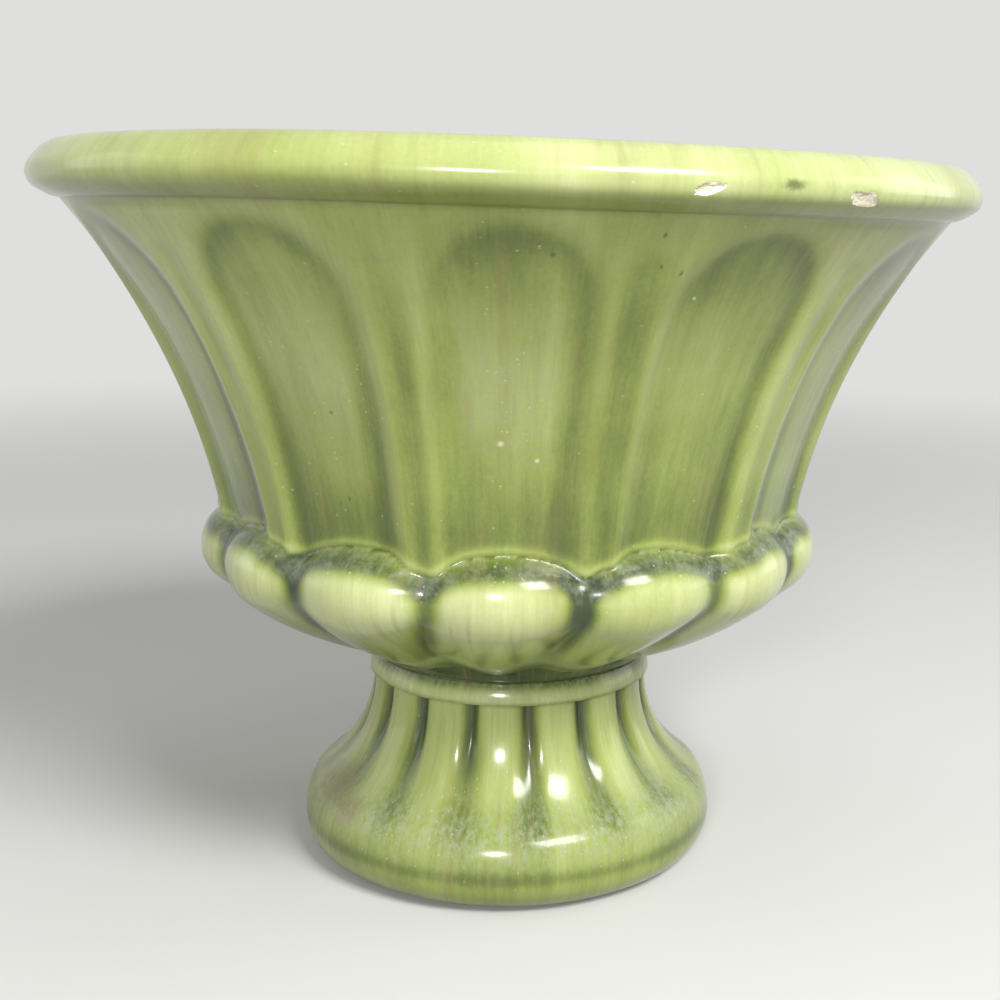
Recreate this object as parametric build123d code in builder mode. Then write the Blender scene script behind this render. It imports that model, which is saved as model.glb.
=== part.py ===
"""Glazed earthenware pedestal urn: two clay castings, their slip joint and the glaze coats.

Millimetres, +Z up. The origin is the centre of the foot ring, on the resting surface.
The front faces -Y, with a panel and a lobe in its middle.
"""

import os
from math import asin, atan2, cos, degrees, hypot, radians, sin, sqrt, tan

from build123d import *

# Heights, stacked from the resting surface
foot_height = 41.4
collar_height = 4.4
slip_thickness = 0.8
belly_height = 25.6
wall_height = 77.8

# Radii at the glazed surface
foot_radius = 47.3
foot_roll = 9.8
stem_radius = 31.4
collar_radius = 33.0
collar_low_radius = 32.0
collar_top_radius = 30.8
belt_radius = 68.7
belt_roll = 9.4
wall_root_radius = 62.6
rim_radius = 100.0
lip_roll = 3.6
crown_roll = 5.5
crown_setback = 2.9
crown_lift = 0.5
lip_overhang = 1.8

# Curves: how far each flank is bowed, the slope under the belly and its round toe
wall_bow = 6.4
belly_slope = 32.0
toe_round = 3.0

# Clay and glaze
clay_thickness = 6.0
floor_thickness = 7.0
floor_radius = 37.0
belly_bow = 1.2
glaze_thickness = 0.5
dry_foot_height = 1.2

# Hollow under the foot and the spigot joint
ring_width = 4.0
hollow_bow = 2.0
bore_radius = 24.5
bore_depth = 9.0
spigot_depth = 5.0
spigot_clearance = 0.4
slip_margin = 0.6

# Panels and ribs on the wall
panel_count = 12
panel_angle = 20.8
panel_depth = 1.6
panel_corner = 13.0
panel_head_room = 7.5
groove_depth = 0.8
groove_head_radius = 2.6
groove_tail_radius = 0.6
groove_length = 24.0
groove_head_room = 16.0

# Gadroon lobes round the belt
lobe_count = 14
valley_width = 20.0
valley_depth = 3.4

# Reeds round the foot
reed_count = 16
reed_turn = 7.4
reed_groove_width = 5.0
reed_groove_depth = 1.3
reed_lift = 1.4

# How far cutters run past the clay
overrun = 5.0

# Levels
collar_z = foot_height
slip_z = collar_z + collar_height
seat_z = slip_z + slip_thickness
belt_z = seat_z + belly_height
lip_z = belt_z + wall_height
crown_z = lip_z + crown_lift
top_z = crown_z + crown_roll
floor_z = seat_z + floor_thickness
bore_z = slip_z - bore_depth

# Centres of the rolled edges
lip_centre = (rim_radius - lip_roll, lip_z)
crown_centre = (lip_centre[0] - crown_setback, crown_z)
belt_centre = (belt_radius - belt_roll, belt_z)
foot_centre = (foot_radius - foot_roll, foot_roll)

# The coats, counted inwards from the glazed outside of the bowl
clay_inset = glaze_thickness
inside_inset = clay_inset + clay_thickness
lined_inset = inside_inset + glaze_thickness

front = -90.0
lobe_pitch = 360.0 / lobe_count
panel_pitch = 360.0 / panel_count


def bowed_arc(start, end, bow):
    """Centre and radius of the arc from start up to end that is bowed in towards the axis."""
    run = end[0] - start[0]
    rise = end[1] - start[1]
    chord = hypot(run, rise)
    radius = (chord**2 / 4 + bow**2) / (2 * bow)
    reach = (radius - bow) / chord
    middle = ((start[0] + end[0]) / 2, (start[1] + end[1]) / 2)
    return (middle[0] + rise * reach, middle[1] - run * reach), radius


wall_top = (rim_radius - lip_overhang, lip_z)
wall_centre, wall_arc = bowed_arc((wall_root_radius, belt_z), wall_top, wall_bow)

# The stem stands upright under the collar and its flank runs tangent into the rolled foot
stem_offset = (stem_radius - foot_centre[0], collar_z - foot_centre[1])
stem_arc = (stem_offset[0] ** 2 + stem_offset[1] ** 2 - foot_roll**2) / (2 * (foot_roll - stem_offset[0]))
flank_angle = atan2(stem_offset[1], stem_offset[0] + stem_arc)


def wall_radius(height, inset):
    """Radius of the wall at a height, inset below its glazed outside."""
    return wall_centre[0] - sqrt((wall_arc + inset) ** 2 - (height - wall_centre[1]) ** 2)


def wall_flank(inset):
    """The wall's curved outline, from the belt up to the middle of the lip."""
    return ThreePointArc(*[(wall_radius(z, inset), z) for z in (belt_z, (belt_z + lip_z) / 2, lip_z)])


def foot_bend(inset):
    """The point where the rolled foot turns into the flank of the stem."""
    roll = foot_roll - inset
    return (foot_centre[0] + roll * cos(flank_angle), foot_centre[1] + roll * sin(flank_angle))


def turned_wall(inset):
    """The wall as a plain turned solid, from the belt to the middle of the lip."""
    with BuildPart() as wall:
        with BuildSketch(Plane.XZ):
            with BuildLine():
                flank = wall_flank(inset)
                Polyline(flank @ 1, (0, lip_z), (0, belt_z), flank @ 0)
            make_face()
        revolve(axis=Axis.Z)
    return wall.part


def panel_cutter(inset):
    """An arched block that cuts one panel through the ribbed skin of the wall."""
    high = lip_z - panel_head_room + inset
    half_angle = radians(panel_angle / 2)
    levels = (belt_z, (belt_z + high) / 2, high)
    edge = [(wall_radius(z, 0) * sin(half_angle) + inset, z) for z in levels]
    root = wall_radius(belt_z, panel_depth + overrun / 2)
    with BuildPart() as cutter:
        with BuildSketch(Plane.XZ.offset(root)):
            with BuildLine():
                right = ThreePointArc(*edge)
                left = ThreePointArc(*[(-x, z) for x, z in edge])
                Line(left @ 0, right @ 0)
                Line(left @ 1, right @ 1)
            make_face()
            corners = vertices().group_by(Axis.Y)[-1]
            fillet(corners, radius=panel_corner + inset)
        extrude(amount=rim_radius - root + overrun)
    return cutter.part


def groove_cutter(inset):
    """A teardrop block that cuts the groove in the upper half of one rib."""
    head_z = lip_z - groove_head_room
    root = wall_radius(head_z - groove_length, groove_depth + overrun)
    with BuildPart() as cutter:
        with BuildSketch(Plane.XZ.offset(root)):
            with BuildLine():
                CenterArc((0, head_z), groove_head_radius + inset, 0, 360)
                CenterArc((0, head_z - groove_length), groove_tail_radius + inset, 0, 360)
            make_hull()
        extrude(amount=rim_radius - root + overrun)
    return cutter.part


def panelled_wall(inset):
    """The wall with its ribs, their teardrop grooves and the sunken panels between them."""
    panel = panel_cutter(inset)
    groove = groove_cutter(inset)
    ribs = turned_wall(inset)
    groove_floor = turned_wall(inset + groove_depth)
    panel_floor = turned_wall(inset + panel_depth)
    with BuildPart() as wall:
        add(ribs)
        with PolarLocations(0, panel_count, start_angle=panel_pitch / 2):
            add(groove, mode=Mode.SUBTRACT)
        add(groove_floor)
        with PolarLocations(0, panel_count):
            add(panel, mode=Mode.SUBTRACT)
        add(panel_floor)
    return wall.part


def belly_outline(inset):
    """Points of the belly's outline: its toe on the seat, the end of its slope and the top of the belt."""
    roll = belt_roll - inset
    slope = radians(belly_slope)
    bend = (belt_centre[0] + roll * sin(slope), belt_z - roll * cos(slope))
    toe = (bend[0] - (bend[1] - seat_z) / tan(slope), seat_z)
    return toe, bend, (belt_centre[0], belt_z + roll)


def valley_sweep(path, width, depth, inset):
    """A curved V, the valley between two rounded crests, swept down a path on the crests' outline."""
    half = width / 2
    crest = (half**2 + depth**2) / (2 * depth)
    side = crest - inset
    turn = asin(half / side) / 2
    dip = (0, side * cos(2 * turn) - crest)
    bend = (half - side * sin(turn), side * cos(turn) - crest)
    with BuildPart() as cutter:
        with BuildSketch(Plane(origin=path @ 0, x_dir=(0, 1, 0), z_dir=path % 0)):
            with BuildLine():
                ThreePointArc(dip, bend, (half, -inset))
                ThreePointArc(dip, (-bend[0], bend[1]), (-half, -inset))
                Polyline((half, -inset), (half, overrun), (-half, overrun), (-half, -inset))
            make_face()
        sweep(path=path)
    return cutter.part


def valley_cutter(inset):
    """The cutter that parts two neighbouring lobes, run out past the toe of the belly."""
    toe, bend, _ = belly_outline(0)
    slope_length = hypot(bend[0] - toe[0], bend[1] - toe[1])
    with BuildLine(Plane.XZ) as path:
        roll = CenterArc(belt_centre, belt_roll, 90, belly_slope - 180)
        Line(roll @ 1, roll @ 1 + (roll % 1) * (slope_length + overrun))
    return valley_sweep(path.wire(), valley_width, valley_depth, inset)


def lobed_belt(inset):
    """The belly with its ring of gadroon lobes."""
    toe, bend, crown = belly_outline(inset)
    valley = valley_cutter(inset)
    with BuildPart() as belt:
        with BuildSketch(Plane.XZ):
            with BuildLine():
                Line(toe, bend)
                CenterArc(belt_centre, belt_roll - inset, belly_slope - 90, 180 - belly_slope)
                Polyline(crown, (0, crown[1]), (0, seat_z), toe)
            make_face()
            fillet(vertices().group_by(Axis.Y)[0].sort_by(Axis.X)[-1], radius=toe_round - inset)
        revolve(axis=Axis.Z)
        with PolarLocations(0, lobe_count, start_angle=front + lobe_pitch / 2):
            add(valley, mode=Mode.SUBTRACT)
    return belt.part


def lip_bead(inset):
    """The lip as a ring: a small roll at the rim, drawn up to the larger roll of the crown."""
    with BuildPart() as bead:
        with BuildSketch(Plane.XZ):
            with BuildLine():
                CenterArc(lip_centre, lip_roll - inset, 0, 360)
                CenterArc(crown_centre, crown_roll - inset, 0, 360)
            make_hull()
        revolve(axis=Axis.Z)
    return bead.part


def bowl_hollow(inset):
    """The space inside the bowl, its side inset below the wall's glazed outside."""
    lining = inset - inside_inset
    low = (floor_radius - lining, floor_z + lining)
    high = (wall_radius(belt_z, inset), belt_z)
    with BuildPart() as hollow:
        with BuildSketch(Plane.XZ):
            with BuildLine():
                belly = SagittaArc(low, high, -belly_bow)
                flank = wall_flank(inset)
                mouth = ((flank @ 1).X, top_z + overrun)
                Polyline(flank @ 1, mouth, (0, mouth[1]), (0, low[1]), belly @ 0)
            make_face()
        revolve(axis=Axis.Z)
    return hollow.part


def bowl_form(inset, inner_inset):
    """The whole bowl with its relief, between an outside and an inside surface."""
    wall = panelled_wall(inset)
    belt = lobed_belt(inset)
    hollow = bowl_hollow(inner_inset)
    bead = lip_bead(inset)
    with BuildPart() as bowl:
        add(wall)
        add(belt)
        add(hollow, mode=Mode.SUBTRACT)
        add(bead)
    return bowl.part


def reed_cutter(inset):
    """The cutter that parts two neighbouring reeds, lifting off the flank where the foot spreads."""
    with BuildLine(Plane.XZ) as path:
        drop = Line((stem_radius, collar_z + overrun), (stem_radius, collar_z))
        TangentArc(drop @ 1, foot_bend(-reed_lift), tangent=drop % 1)
    return valley_sweep(path.wire(), reed_groove_width, reed_groove_depth, inset)


def pedestal_form(inset):
    """The whole pedestal: rolled foot, reeded stem and collar, hollow from below."""
    groove = reed_cutter(inset)
    stem_top = (stem_radius - inset, collar_z + collar_height / 2)
    with BuildPart() as pedestal:
        with BuildSketch(Plane.XZ):
            with BuildLine():
                edge = CenterArc(foot_centre, foot_roll - inset, -90, 90 + degrees(flank_angle))
                flank = TangentArc((stem_radius - inset, collar_z), edge @ 1, tangent=(0, -1))
                Polyline(flank @ 0, stem_top, (0, stem_top[1]), (0, inset), edge @ 0)
            make_face()
            Rectangle(foot_centre[0], foot_roll, align=(Align.MIN, Align.MIN))
        revolve(axis=Axis.Z)
        with PolarLocations(0, reed_count, start_angle=front + reed_turn):
            add(groove, mode=Mode.SUBTRACT)
        with BuildSketch(Plane.XZ):
            with BuildLine():
                band = ThreePointArc(
                    (collar_low_radius - inset, collar_z + inset),
                    (collar_radius - inset, collar_z + collar_height / 2),
                    (collar_top_radius - inset, slip_z),
                )
                Polyline(band @ 1, (0, slip_z), (0, collar_z + inset), band @ 0)
            make_face()
        revolve(axis=Axis.Z)
        with BuildSketch(Plane.XZ):
            with BuildLine():
                side = SagittaArc((foot_centre[0] - ring_width, 0), (bore_radius, bore_z), -hollow_bow)
                Polyline(side @ 1, (bore_radius, slip_z), (0, slip_z), (0, 0), side @ 0)
            make_face()
        revolve(axis=Axis.Z, mode=Mode.SUBTRACT)
    return pedestal.part


# Clay bowl, with the spigot that centres it in the pedestal
bowl_clay = bowl_form(clay_inset, inside_inset)
with BuildPart() as bowl_casting:
    add(bowl_clay)
    with BuildSketch(Plane.XY.offset(seat_z)):
        Circle(bore_radius - spigot_clearance)
    extrude(amount=-spigot_depth)
bowl_casting.part.label = "bowl_casting"

# Clay pedestal
with BuildPart() as pedestal_casting:
    add(pedestal_form(clay_inset))
pedestal_casting.part.label = "pedestal_casting"

# Ring of slip between the collar and the seat of the bowl
with BuildPart() as joint_slip:
    with BuildSketch(Plane.XY.offset(slip_z)):
        Circle(collar_top_radius - slip_margin)
        Circle(bore_radius, mode=Mode.SUBTRACT)
    extrude(amount=slip_thickness)
joint_slip.part.label = "joint_slip"

# Glaze on the bowl, parted along the top of the lip into the outside and the lining
glazed_bowl = bowl_form(0, lined_inset)
lining_side = bowl_hollow(inside_inset - glaze_thickness)
with BuildPart() as bowl_coat:
    add(glazed_bowl)
    add(bowl_clay, mode=Mode.SUBTRACT)

with BuildPart() as bowl_glaze:
    add(bowl_coat.part)
    add(lining_side, mode=Mode.SUBTRACT)
bowl_glaze.part.label = "bowl_glaze"

with BuildPart() as liner_glaze:
    add(bowl_coat.part)
    add(lining_side, mode=Mode.INTERSECT)
liner_glaze.part.label = "liner_glaze"

# Glaze on the pedestal, wiped off the foot ring
glazed_pedestal = pedestal_form(0)
with BuildPart() as pedestal_glaze:
    add(glazed_pedestal)
    add(pedestal_casting.part, mode=Mode.SUBTRACT)
    with BuildSketch():
        Circle(foot_radius + overrun)
    extrude(amount=dry_foot_height, mode=Mode.SUBTRACT)
pedestal_glaze.part.label = "pedestal_glaze"

os.makedirs("parts", exist_ok=True)
for piece in (bowl_casting, pedestal_casting, joint_slip, bowl_glaze, liner_glaze, pedestal_glaze):
    export_step(piece.part, f"parts/{piece.part.label}.step")
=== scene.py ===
"""Looks of a glazed earthenware pedestal urn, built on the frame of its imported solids.

Sizes in the fields are millimetres and angles are degrees, unless a class says otherwise.
The meshes are in metres.
+Z is up and the front faces -Y. Angles round the urn run from the front towards +X.
"""

import logging
import math
from dataclasses import dataclass
from enum import Enum
from typing import Any, NamedTuple

import bpy
import numpy as np
from mathutils import Matrix, Vector, kdtree, noise


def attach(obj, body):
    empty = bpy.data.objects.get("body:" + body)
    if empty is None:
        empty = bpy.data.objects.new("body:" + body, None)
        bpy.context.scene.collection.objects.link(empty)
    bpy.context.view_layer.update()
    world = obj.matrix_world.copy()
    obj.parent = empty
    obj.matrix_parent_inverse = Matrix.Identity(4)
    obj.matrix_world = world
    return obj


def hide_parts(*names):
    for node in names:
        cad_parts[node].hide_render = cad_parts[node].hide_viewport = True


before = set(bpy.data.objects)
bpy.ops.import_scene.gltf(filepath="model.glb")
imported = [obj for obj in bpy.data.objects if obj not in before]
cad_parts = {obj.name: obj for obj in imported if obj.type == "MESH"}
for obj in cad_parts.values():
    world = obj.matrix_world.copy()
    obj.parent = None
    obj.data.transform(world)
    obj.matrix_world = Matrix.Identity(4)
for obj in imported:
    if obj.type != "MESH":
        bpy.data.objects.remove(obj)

MM = 0.001
TAU = 2 * math.pi
SECTORS = 12
WELD_METRES = 2e-6
BODY = "root"
THIN_AND_PAINTED_LIGHT, DULL, DRAPE = "thin", "dull", "drape"
log = logging.getLogger("urn")

Point = tuple[float, float]
Triple = tuple[float, float, float]
Outline = list[Point]


class Slot(Enum):
    """The record's material slots."""

    CLAY = "earthenware"
    GLAZE = "glaze"


class Zone(Enum):
    """The stretches of a coat's section, which take their relief in different ways."""

    PLAIN = 0
    BELLY = 1
    WALL = 2
    LIP = 3
    STEM = 4
    BACK = 5


class Station(NamedTuple):
    """One point of a section: its radius and height, and the stretch that it is on."""

    radius: float
    height: float
    zone: Zone


# Curves and fields


@dataclass(frozen=True)
class Ease:
    """A smooth step from 0 at low to gain at high; low may be the larger."""

    low: float
    high: float
    gain: float = 1.0

    def __call__(self, value: np.ndarray) -> np.ndarray:
        """The step's height at each number."""
        share = np.clip((value - self.low) / (self.high - self.low), 0, 1)
        return self.gain * share * share * (3 - 2 * share)


@dataclass(frozen=True)
class Hump:
    """A soft hump round a middle, with its half width and its height."""

    middle: float
    width: float
    gain: float = 1.0

    def __call__(self, value: np.ndarray) -> np.ndarray:
        """The hump's height at each number."""
        return self.gain * np.exp(-(((value - self.middle) / self.width) ** 2))


def soft_max(first: np.ndarray, second: np.ndarray, width: float) -> np.ndarray:
    """The outer of two surfaces, with the crease filled where they are nearer than a width."""
    near = np.clip(width - np.abs(first - second), 0, None)
    return np.maximum(first, second) + near * near / (4 * width)


def wrap(angle: np.ndarray, pitch: float) -> np.ndarray:
    """The angle from the nearest multiple of a pitch, in radians."""
    return angle - pitch * np.round(angle / pitch)


def arc(centre: Point, radius: float, start: float, end: float, spacing: float) -> Outline:
    """Points along an arc.

    Args:
        centre: Radius and height of the arc's centre.
        radius: The arc's radius.
        start: Its first angle in degrees.
        end: Its last angle in degrees.
        spacing: About how far apart the points are.

    Returns:
        The points, both ends included.
    """
    count = max(2, round(abs(math.radians(end - start)) * radius / spacing))
    angles = np.radians(np.linspace(start, end, count + 1))
    return [(centre[0] + radius * math.cos(a), centre[1] + radius * math.sin(a)) for a in angles]


def bezier(corners: list[Point], count: int) -> Outline:
    """Points along the curve that a few corners pull.

    Args:
        corners: The curve's ends and the corners between them.
        count: Number of steps along the curve.

    Returns:
        The points, both ends included.
    """
    order = len(corners) - 1
    made: Outline = []
    for share in np.linspace(0, 1, count + 1).tolist():
        weights = [math.comb(order, k) * share**k * (1 - share) ** (order - k) for k in range(order + 1)]
        radius = sum(w * c[0] for w, c in zip(weights, corners))
        made.append((radius, sum(w * c[1] for w, c in zip(weights, corners))))
    return made


def line(start: Point, end: Point, spacing: float) -> Outline:
    """Points along a straight line, both ends included."""
    return bezier([start, end], max(1, round(math.dist(start, end) / spacing)))


def sweep(start: Point, rise: float, end: Point, fall: float, spacing: float) -> Outline:
    """Points along a smooth curve that leaves and arrives at given slopes.

    Args:
        start: Radius and height of the first point.
        rise: Direction at the first point, in degrees.
        end: Radius and height of the last point.
        fall: Direction at the last point, in degrees.
        spacing: About how far apart the points are.

    Returns:
        The points, both ends included.
    """
    size = math.dist(start, end)
    leave, arrive, pull = math.radians(rise), math.radians(fall), size / 3
    first = (start[0] + pull * math.cos(leave), start[1] + pull * math.sin(leave))
    second = (end[0] - pull * math.cos(arrive), end[1] - pull * math.sin(arrive))
    return bezier([start, first, second, end], max(2, round(size / spacing)))


def bowed(start: Point, end: Point, bow: float, count: int) -> Outline:
    """Points along a line that is bowed to its left.

    Args:
        start: Radius and height of the first point.
        end: Radius and height of the last point.
        bow: How far its middle is bowed; less than 0 bows it to the right.
        count: Number of points.

    Returns:
        The points, both ends included.
    """
    run, rise = end[0] - start[0], end[1] - start[1]
    made: Outline = []
    for share in np.linspace(0, 1, count).tolist():
        sag = 4 * bow * share * (1 - share) / math.hypot(run, rise)
        made.append((start[0] + run * share - rise * sag, start[1] + rise * share + run * sag))
    return made


def chain(*runs: Outline) -> Outline:
    """Joins runs of points into one outline.

    Args:
        runs: The runs, in order.

    Returns:
        Their points, without those that repeat.
    """
    closest = 0.02
    joined: Outline = []
    for point in (point for run in runs for point in run):
        if not joined or math.dist(point, joined[-1]) > closest:
            joined.append(point)
    return joined


def stations(outline: Outline, zone: Zone) -> list[Station]:
    """Marks every point of an outline as lying on one stretch."""
    return [Station(radius, height, zone) for radius, height in outline]


# Forms of the urn


@dataclass(frozen=True)
class WallForm:
    """The flared wall: an arc bowed in towards the axis, with sunken panels between ribs."""

    root_radius: float = 62.6
    root_z: float = 72.2
    top_radius: float = 98.2
    top_z: float = 150.0
    bow: float = 6.4
    panel_count: int = 12
    panel_half_angle: float = 10.4
    panel_depth: float = 1.6
    panel_edge: Ease = Ease(-3.2, 3.2)
    head_depth: float = 0.45
    spring_z: float = 127.5
    peak_z: float = 142.6
    relief_height: Ease = Ease(142.0, 116.0)
    bead: Hump = Hump(-2.4, 1.7, 0.3)
    bead_head: float = 0.2
    rib_crown: float = 0.35
    groove_depth: float = 0.5
    groove_head_z: float = 134.5
    groove_tail_z: float = 106.0
    groove_head: float = 3.2
    groove_tail: float = 1.6
    groove_start: Ease = Ease(-0.05, 0.4)

    def circle(self) -> tuple[float, float, float]:
        """Finds the arc.

        Returns:
            Radius and height of the arc's centre, and the arc's own radius.
        """
        run = self.top_radius - self.root_radius
        rise = self.top_z - self.root_z
        chord = math.hypot(run, rise)
        size = (chord**2 / 4 + self.bow**2) / (2 * self.bow)
        reach = (size - self.bow) / chord
        middle = ((self.root_radius + self.top_radius) / 2, (self.root_z + self.top_z) / 2)
        return middle[0] + rise * reach, middle[1] - run * reach, size

    def radius(self, z: np.ndarray, sink: np.ndarray | float = 0.0) -> np.ndarray:
        """Radius of the wall at a height, sunk below the outline of its ribs."""
        centre_r, centre_z, size = self.circle()
        return centre_r - np.sqrt((size + sink) ** 2 - (z - centre_z) ** 2)

    def skin(self, angle: float, z: float) -> float:
        """Radius of the wall's surface at an angle in degrees and a height."""
        height = np.array([z])
        return float(self.radius(height, self.sink(np.radians([angle]), height))[0])

    def climb(self, z: np.ndarray | float) -> np.ndarray:
        """Length along the wall from its root up to a height."""
        _, centre_z, size = self.circle()
        return size * (np.arcsin((z - centre_z) / size) - math.asin((self.root_z - centre_z) / size))

    def inside_panel(self, theta: np.ndarray, z: np.ndarray) -> np.ndarray:
        """Measures how far places lie inside the arched outline of the nearest panel.

        Args:
            theta: Angles round the urn.
            z: Heights.

        Returns:
            The distances, negative on the ribs.
        """
        turn = np.abs(wrap(theta, TAU / self.panel_count))
        radius = self.radius(z)
        half = radius * math.radians(self.panel_half_angle)
        spring = self.climb(self.spring_z)
        rise = np.clip(self.climb(z) - spring, 0, None) / (self.climb(self.peak_z) - spring)
        return half * (1 - np.hypot(radius * turn / half, rise))

    def rib_across(self, theta: np.ndarray, z: np.ndarray) -> np.ndarray:
        """Distance from the middle line of the nearest rib."""
        pitch = TAU / self.panel_count
        return self.radius(z) * np.abs(wrap(theta - pitch / 2, pitch))

    def groove(self, theta: np.ndarray, z: np.ndarray) -> np.ndarray:
        """Shapes the teardrop groove of the ribs.

        Args:
            theta: Angles round the urn.
            z: Heights.

        Returns:
            How deep the groove is at each place, from 0 to 1.
        """
        head, tail = self.climb(self.groove_head_z), self.climb(self.groove_tail_z)
        along = (self.climb(z) - tail) / (head - tail)
        width = self.groove_tail + (self.groove_head - self.groove_tail) * np.clip(along, 0, 1)
        away = np.hypot(self.rib_across(theta, z), np.clip(self.climb(z) - head, 0, None))
        return Hump(0, 1)(away / width) * self.groove_start(along)

    def sink(self, theta: np.ndarray, z: np.ndarray) -> np.ndarray:
        """Shapes the relief of panels, beads, grooves and crowned ribs.

        Args:
            theta: Angles round the urn.
            z: Heights.

        Returns:
            Depth at each place below the outline of the ribs.
        """
        inside = self.inside_panel(theta, z)
        panel, full = self.panel_edge(inside), self.relief_height(z)
        half_rib = self.radius(z) * (math.pi / self.panel_count - math.radians(self.panel_half_angle))
        crown = np.clip(1 - (self.rib_across(theta, z) / half_rib) ** 2, 0, 1)
        return (
            self.panel_depth * panel * (self.head_depth + (1 - self.head_depth) * full)
            - self.bead(inside) * (self.bead_head + (1 - self.bead_head) * full)
            + self.groove_depth * self.groove(theta, z) * (1 - panel)
            - self.rib_crown * crown * Ease(self.peak_z, self.spring_z)(z)
        )


@dataclass(frozen=True)
class BeltForm:
    """The belly and its belt of gadroon lobes."""

    centre_radius: float = 59.3
    centre_z: float = 72.2
    roll: float = 9.4
    slope: float = 32.0
    seat_z: float = 46.6
    toe_round: float = 1.3
    toe_radius: float = 36.2
    toe_z: float = 49.5
    toe_slope: float = 20.0
    bend_slope: float = 40.0
    lobe_count: int = 14
    lobe_turn: float = -0.95
    lobe_lean: Ease = Ease(70.0, 56.0, math.radians(3.4))
    lobe_growth: Ease = Ease(51.0, 64.0)
    lobe_depth: float = 3.9
    valley_round: float = 0.13
    valley_sharp: float = 0.1
    toe_wave: float = 1.4
    wave_start: Ease = Ease(46.6, 49.4)
    wave_draw: float = 0.3
    crease_fill: float = 1.8
    hem: Hump = Hump(1.1, 0.9, 0.4)
    hem_crease: Hump = Hump(-0.35, 0.55, 0.4)

    def centre(self) -> Point:
        """Centre of the belt's roll."""
        return self.centre_radius, self.centre_z

    def across(self, theta: np.ndarray) -> np.ndarray:
        """Place across a lobe: 0 on its middle line and 1 in the valley beside it."""
        pitch = TAU / self.lobe_count
        return np.abs(wrap(theta - math.radians(self.lobe_turn), pitch)) / (pitch / 2)

    def dip(self, theta: np.ndarray) -> np.ndarray:
        """How far the surface falls from the lobe's crown towards the valley."""
        share = 1 - np.hypot(1 - self.across(theta), self.valley_round)
        return self.lobe_depth * ((1 - self.valley_sharp) * share**2 + self.valley_sharp * share**6)

    def wave(self, theta: np.ndarray) -> np.ndarray:
        """How far the lobes' toes rise from their middles towards the valleys."""
        return self.toe_wave * (1 - np.cos(math.pi * self.across(theta))) / 2

    def radius(self, theta: np.ndarray, z: np.ndarray) -> np.ndarray:
        """Radius of the lobes above the middle of the belt."""
        left = np.clip((self.roll - self.dip(theta)) ** 2 - (z - self.centre_z) ** 2, 0, None)
        return self.centre_radius + np.sqrt(left)


@dataclass(frozen=True)
class LipForm:
    """The lip: a small roll at the rim, drawn up to the larger roll of the crown."""

    rim_radius: float = 100.0
    rim_z: float = 150.0
    roll: float = 3.6
    crown_roll: float = 5.5
    crown_setback: float = 2.9
    crown_lift: float = 0.5
    seam_radius: float = 90.3
    edge_fineness: float = 0.8

    def rim_centre(self) -> Point:
        """Centre of the small roll."""
        return self.rim_radius - self.roll, self.rim_z

    def crown_centre(self) -> Point:
        """Centre of the crown's roll."""
        return self.rim_radius - self.roll - self.crown_setback, self.rim_z + self.crown_lift

    def tangents(self) -> tuple[float, float]:
        """Finds the two lines that touch both rolls.

        Returns:
            Angles of the lower and the upper line, in degrees.
        """
        axis = math.degrees(math.atan2(-self.crown_lift, self.crown_setback))
        reach = math.hypot(self.crown_setback, self.crown_lift)
        spread = math.degrees(math.acos((self.crown_roll - self.roll) / reach))
        return axis - spread, axis + spread

    def outline(self, inset: float, start_angle: float, spacing: float) -> Outline:
        """The lip's outside from the crown's underside over the top to the seam.

        Args:
            inset: How far below the glazed surface the outline lies.
            start_angle: Angle on the crown's roll where the outline leaves the wall.
            spacing: About how far apart the points are.

        Returns:
            The points, from the wall outwards and over the top.
        """
        low, high = self.tangents()
        crown, rim = self.crown_roll - inset, self.roll - inset
        seam = 180 - math.degrees(math.acos((self.crown_centre()[0] - self.seam_radius) / crown))
        under = arc(self.crown_centre(), crown, start_angle, low, spacing)
        edge = arc(self.rim_centre(), rim, low, high, spacing * self.edge_fineness)
        top = arc(self.crown_centre(), crown, high, seam, spacing)
        return chain(under, line(under[-1], edge[0], spacing), edge, line(edge[-1], top[0], spacing), top)


@dataclass(frozen=True)
class BowlInside:
    """The lined inside of the bowl: wall, bowed belly and round-cornered floor."""

    wall: WallForm
    lip: LipForm
    clay_inset: float = 6.5
    coat: float = 0.5
    crown_end: float = 172.0
    crown_gap: float = 0.4
    crown_fill: float = 1.0
    floor_radius: float = 37.0
    floor_z: float = 53.6
    belly_bow: float = 1.2
    corner: float = 5.0
    belly_points: int = 14
    corner_steps: int = 8
    clay_step: float = 3.0

    def outline(self, lining: float, spacing: float) -> Outline:
        """The inside from the seam on the lip down to the middle of the floor.

        Args:
            lining: Thickness of glaze over the clay.
            spacing: About how far apart the points are.

        Returns:
            The points, from the lip to the axis.
        """
        crown = self.lip.crown_roll - self.coat + lining
        centre = self.lip.crown_centre()
        seam = math.degrees(math.acos((self.lip.seam_radius - centre[0]) / crown))
        top = arc(centre, crown, seam, self.crown_end, spacing / 2)
        drop = top[-1][1] - self.wall.root_z
        heights = np.linspace(top[-1][1] - self.crown_gap, self.wall.root_z, round(drop / spacing))
        bead = centre[0] - np.sqrt(np.clip(crown**2 - (heights - centre[1]) ** 2, 0, None))
        side = -soft_max(-self.wall.radius(heights, self.clay_inset + lining), -bead, self.crown_fill)
        low = (self.floor_radius - lining, self.floor_z + lining)
        belly = bowed((float(side[-1]), self.wall.root_z), low, self.belly_bow, self.belly_points)
        floor = (low[0] - self.corner, low[1])
        corner = bezier([belly[-2], low, floor], self.corner_steps)[1:-1]
        flat = line(floor, (0.0, low[1]), spacing * 2)
        return chain(top, list(zip(side.tolist(), heights.tolist())), belly[:-1], corner, flat)


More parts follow.
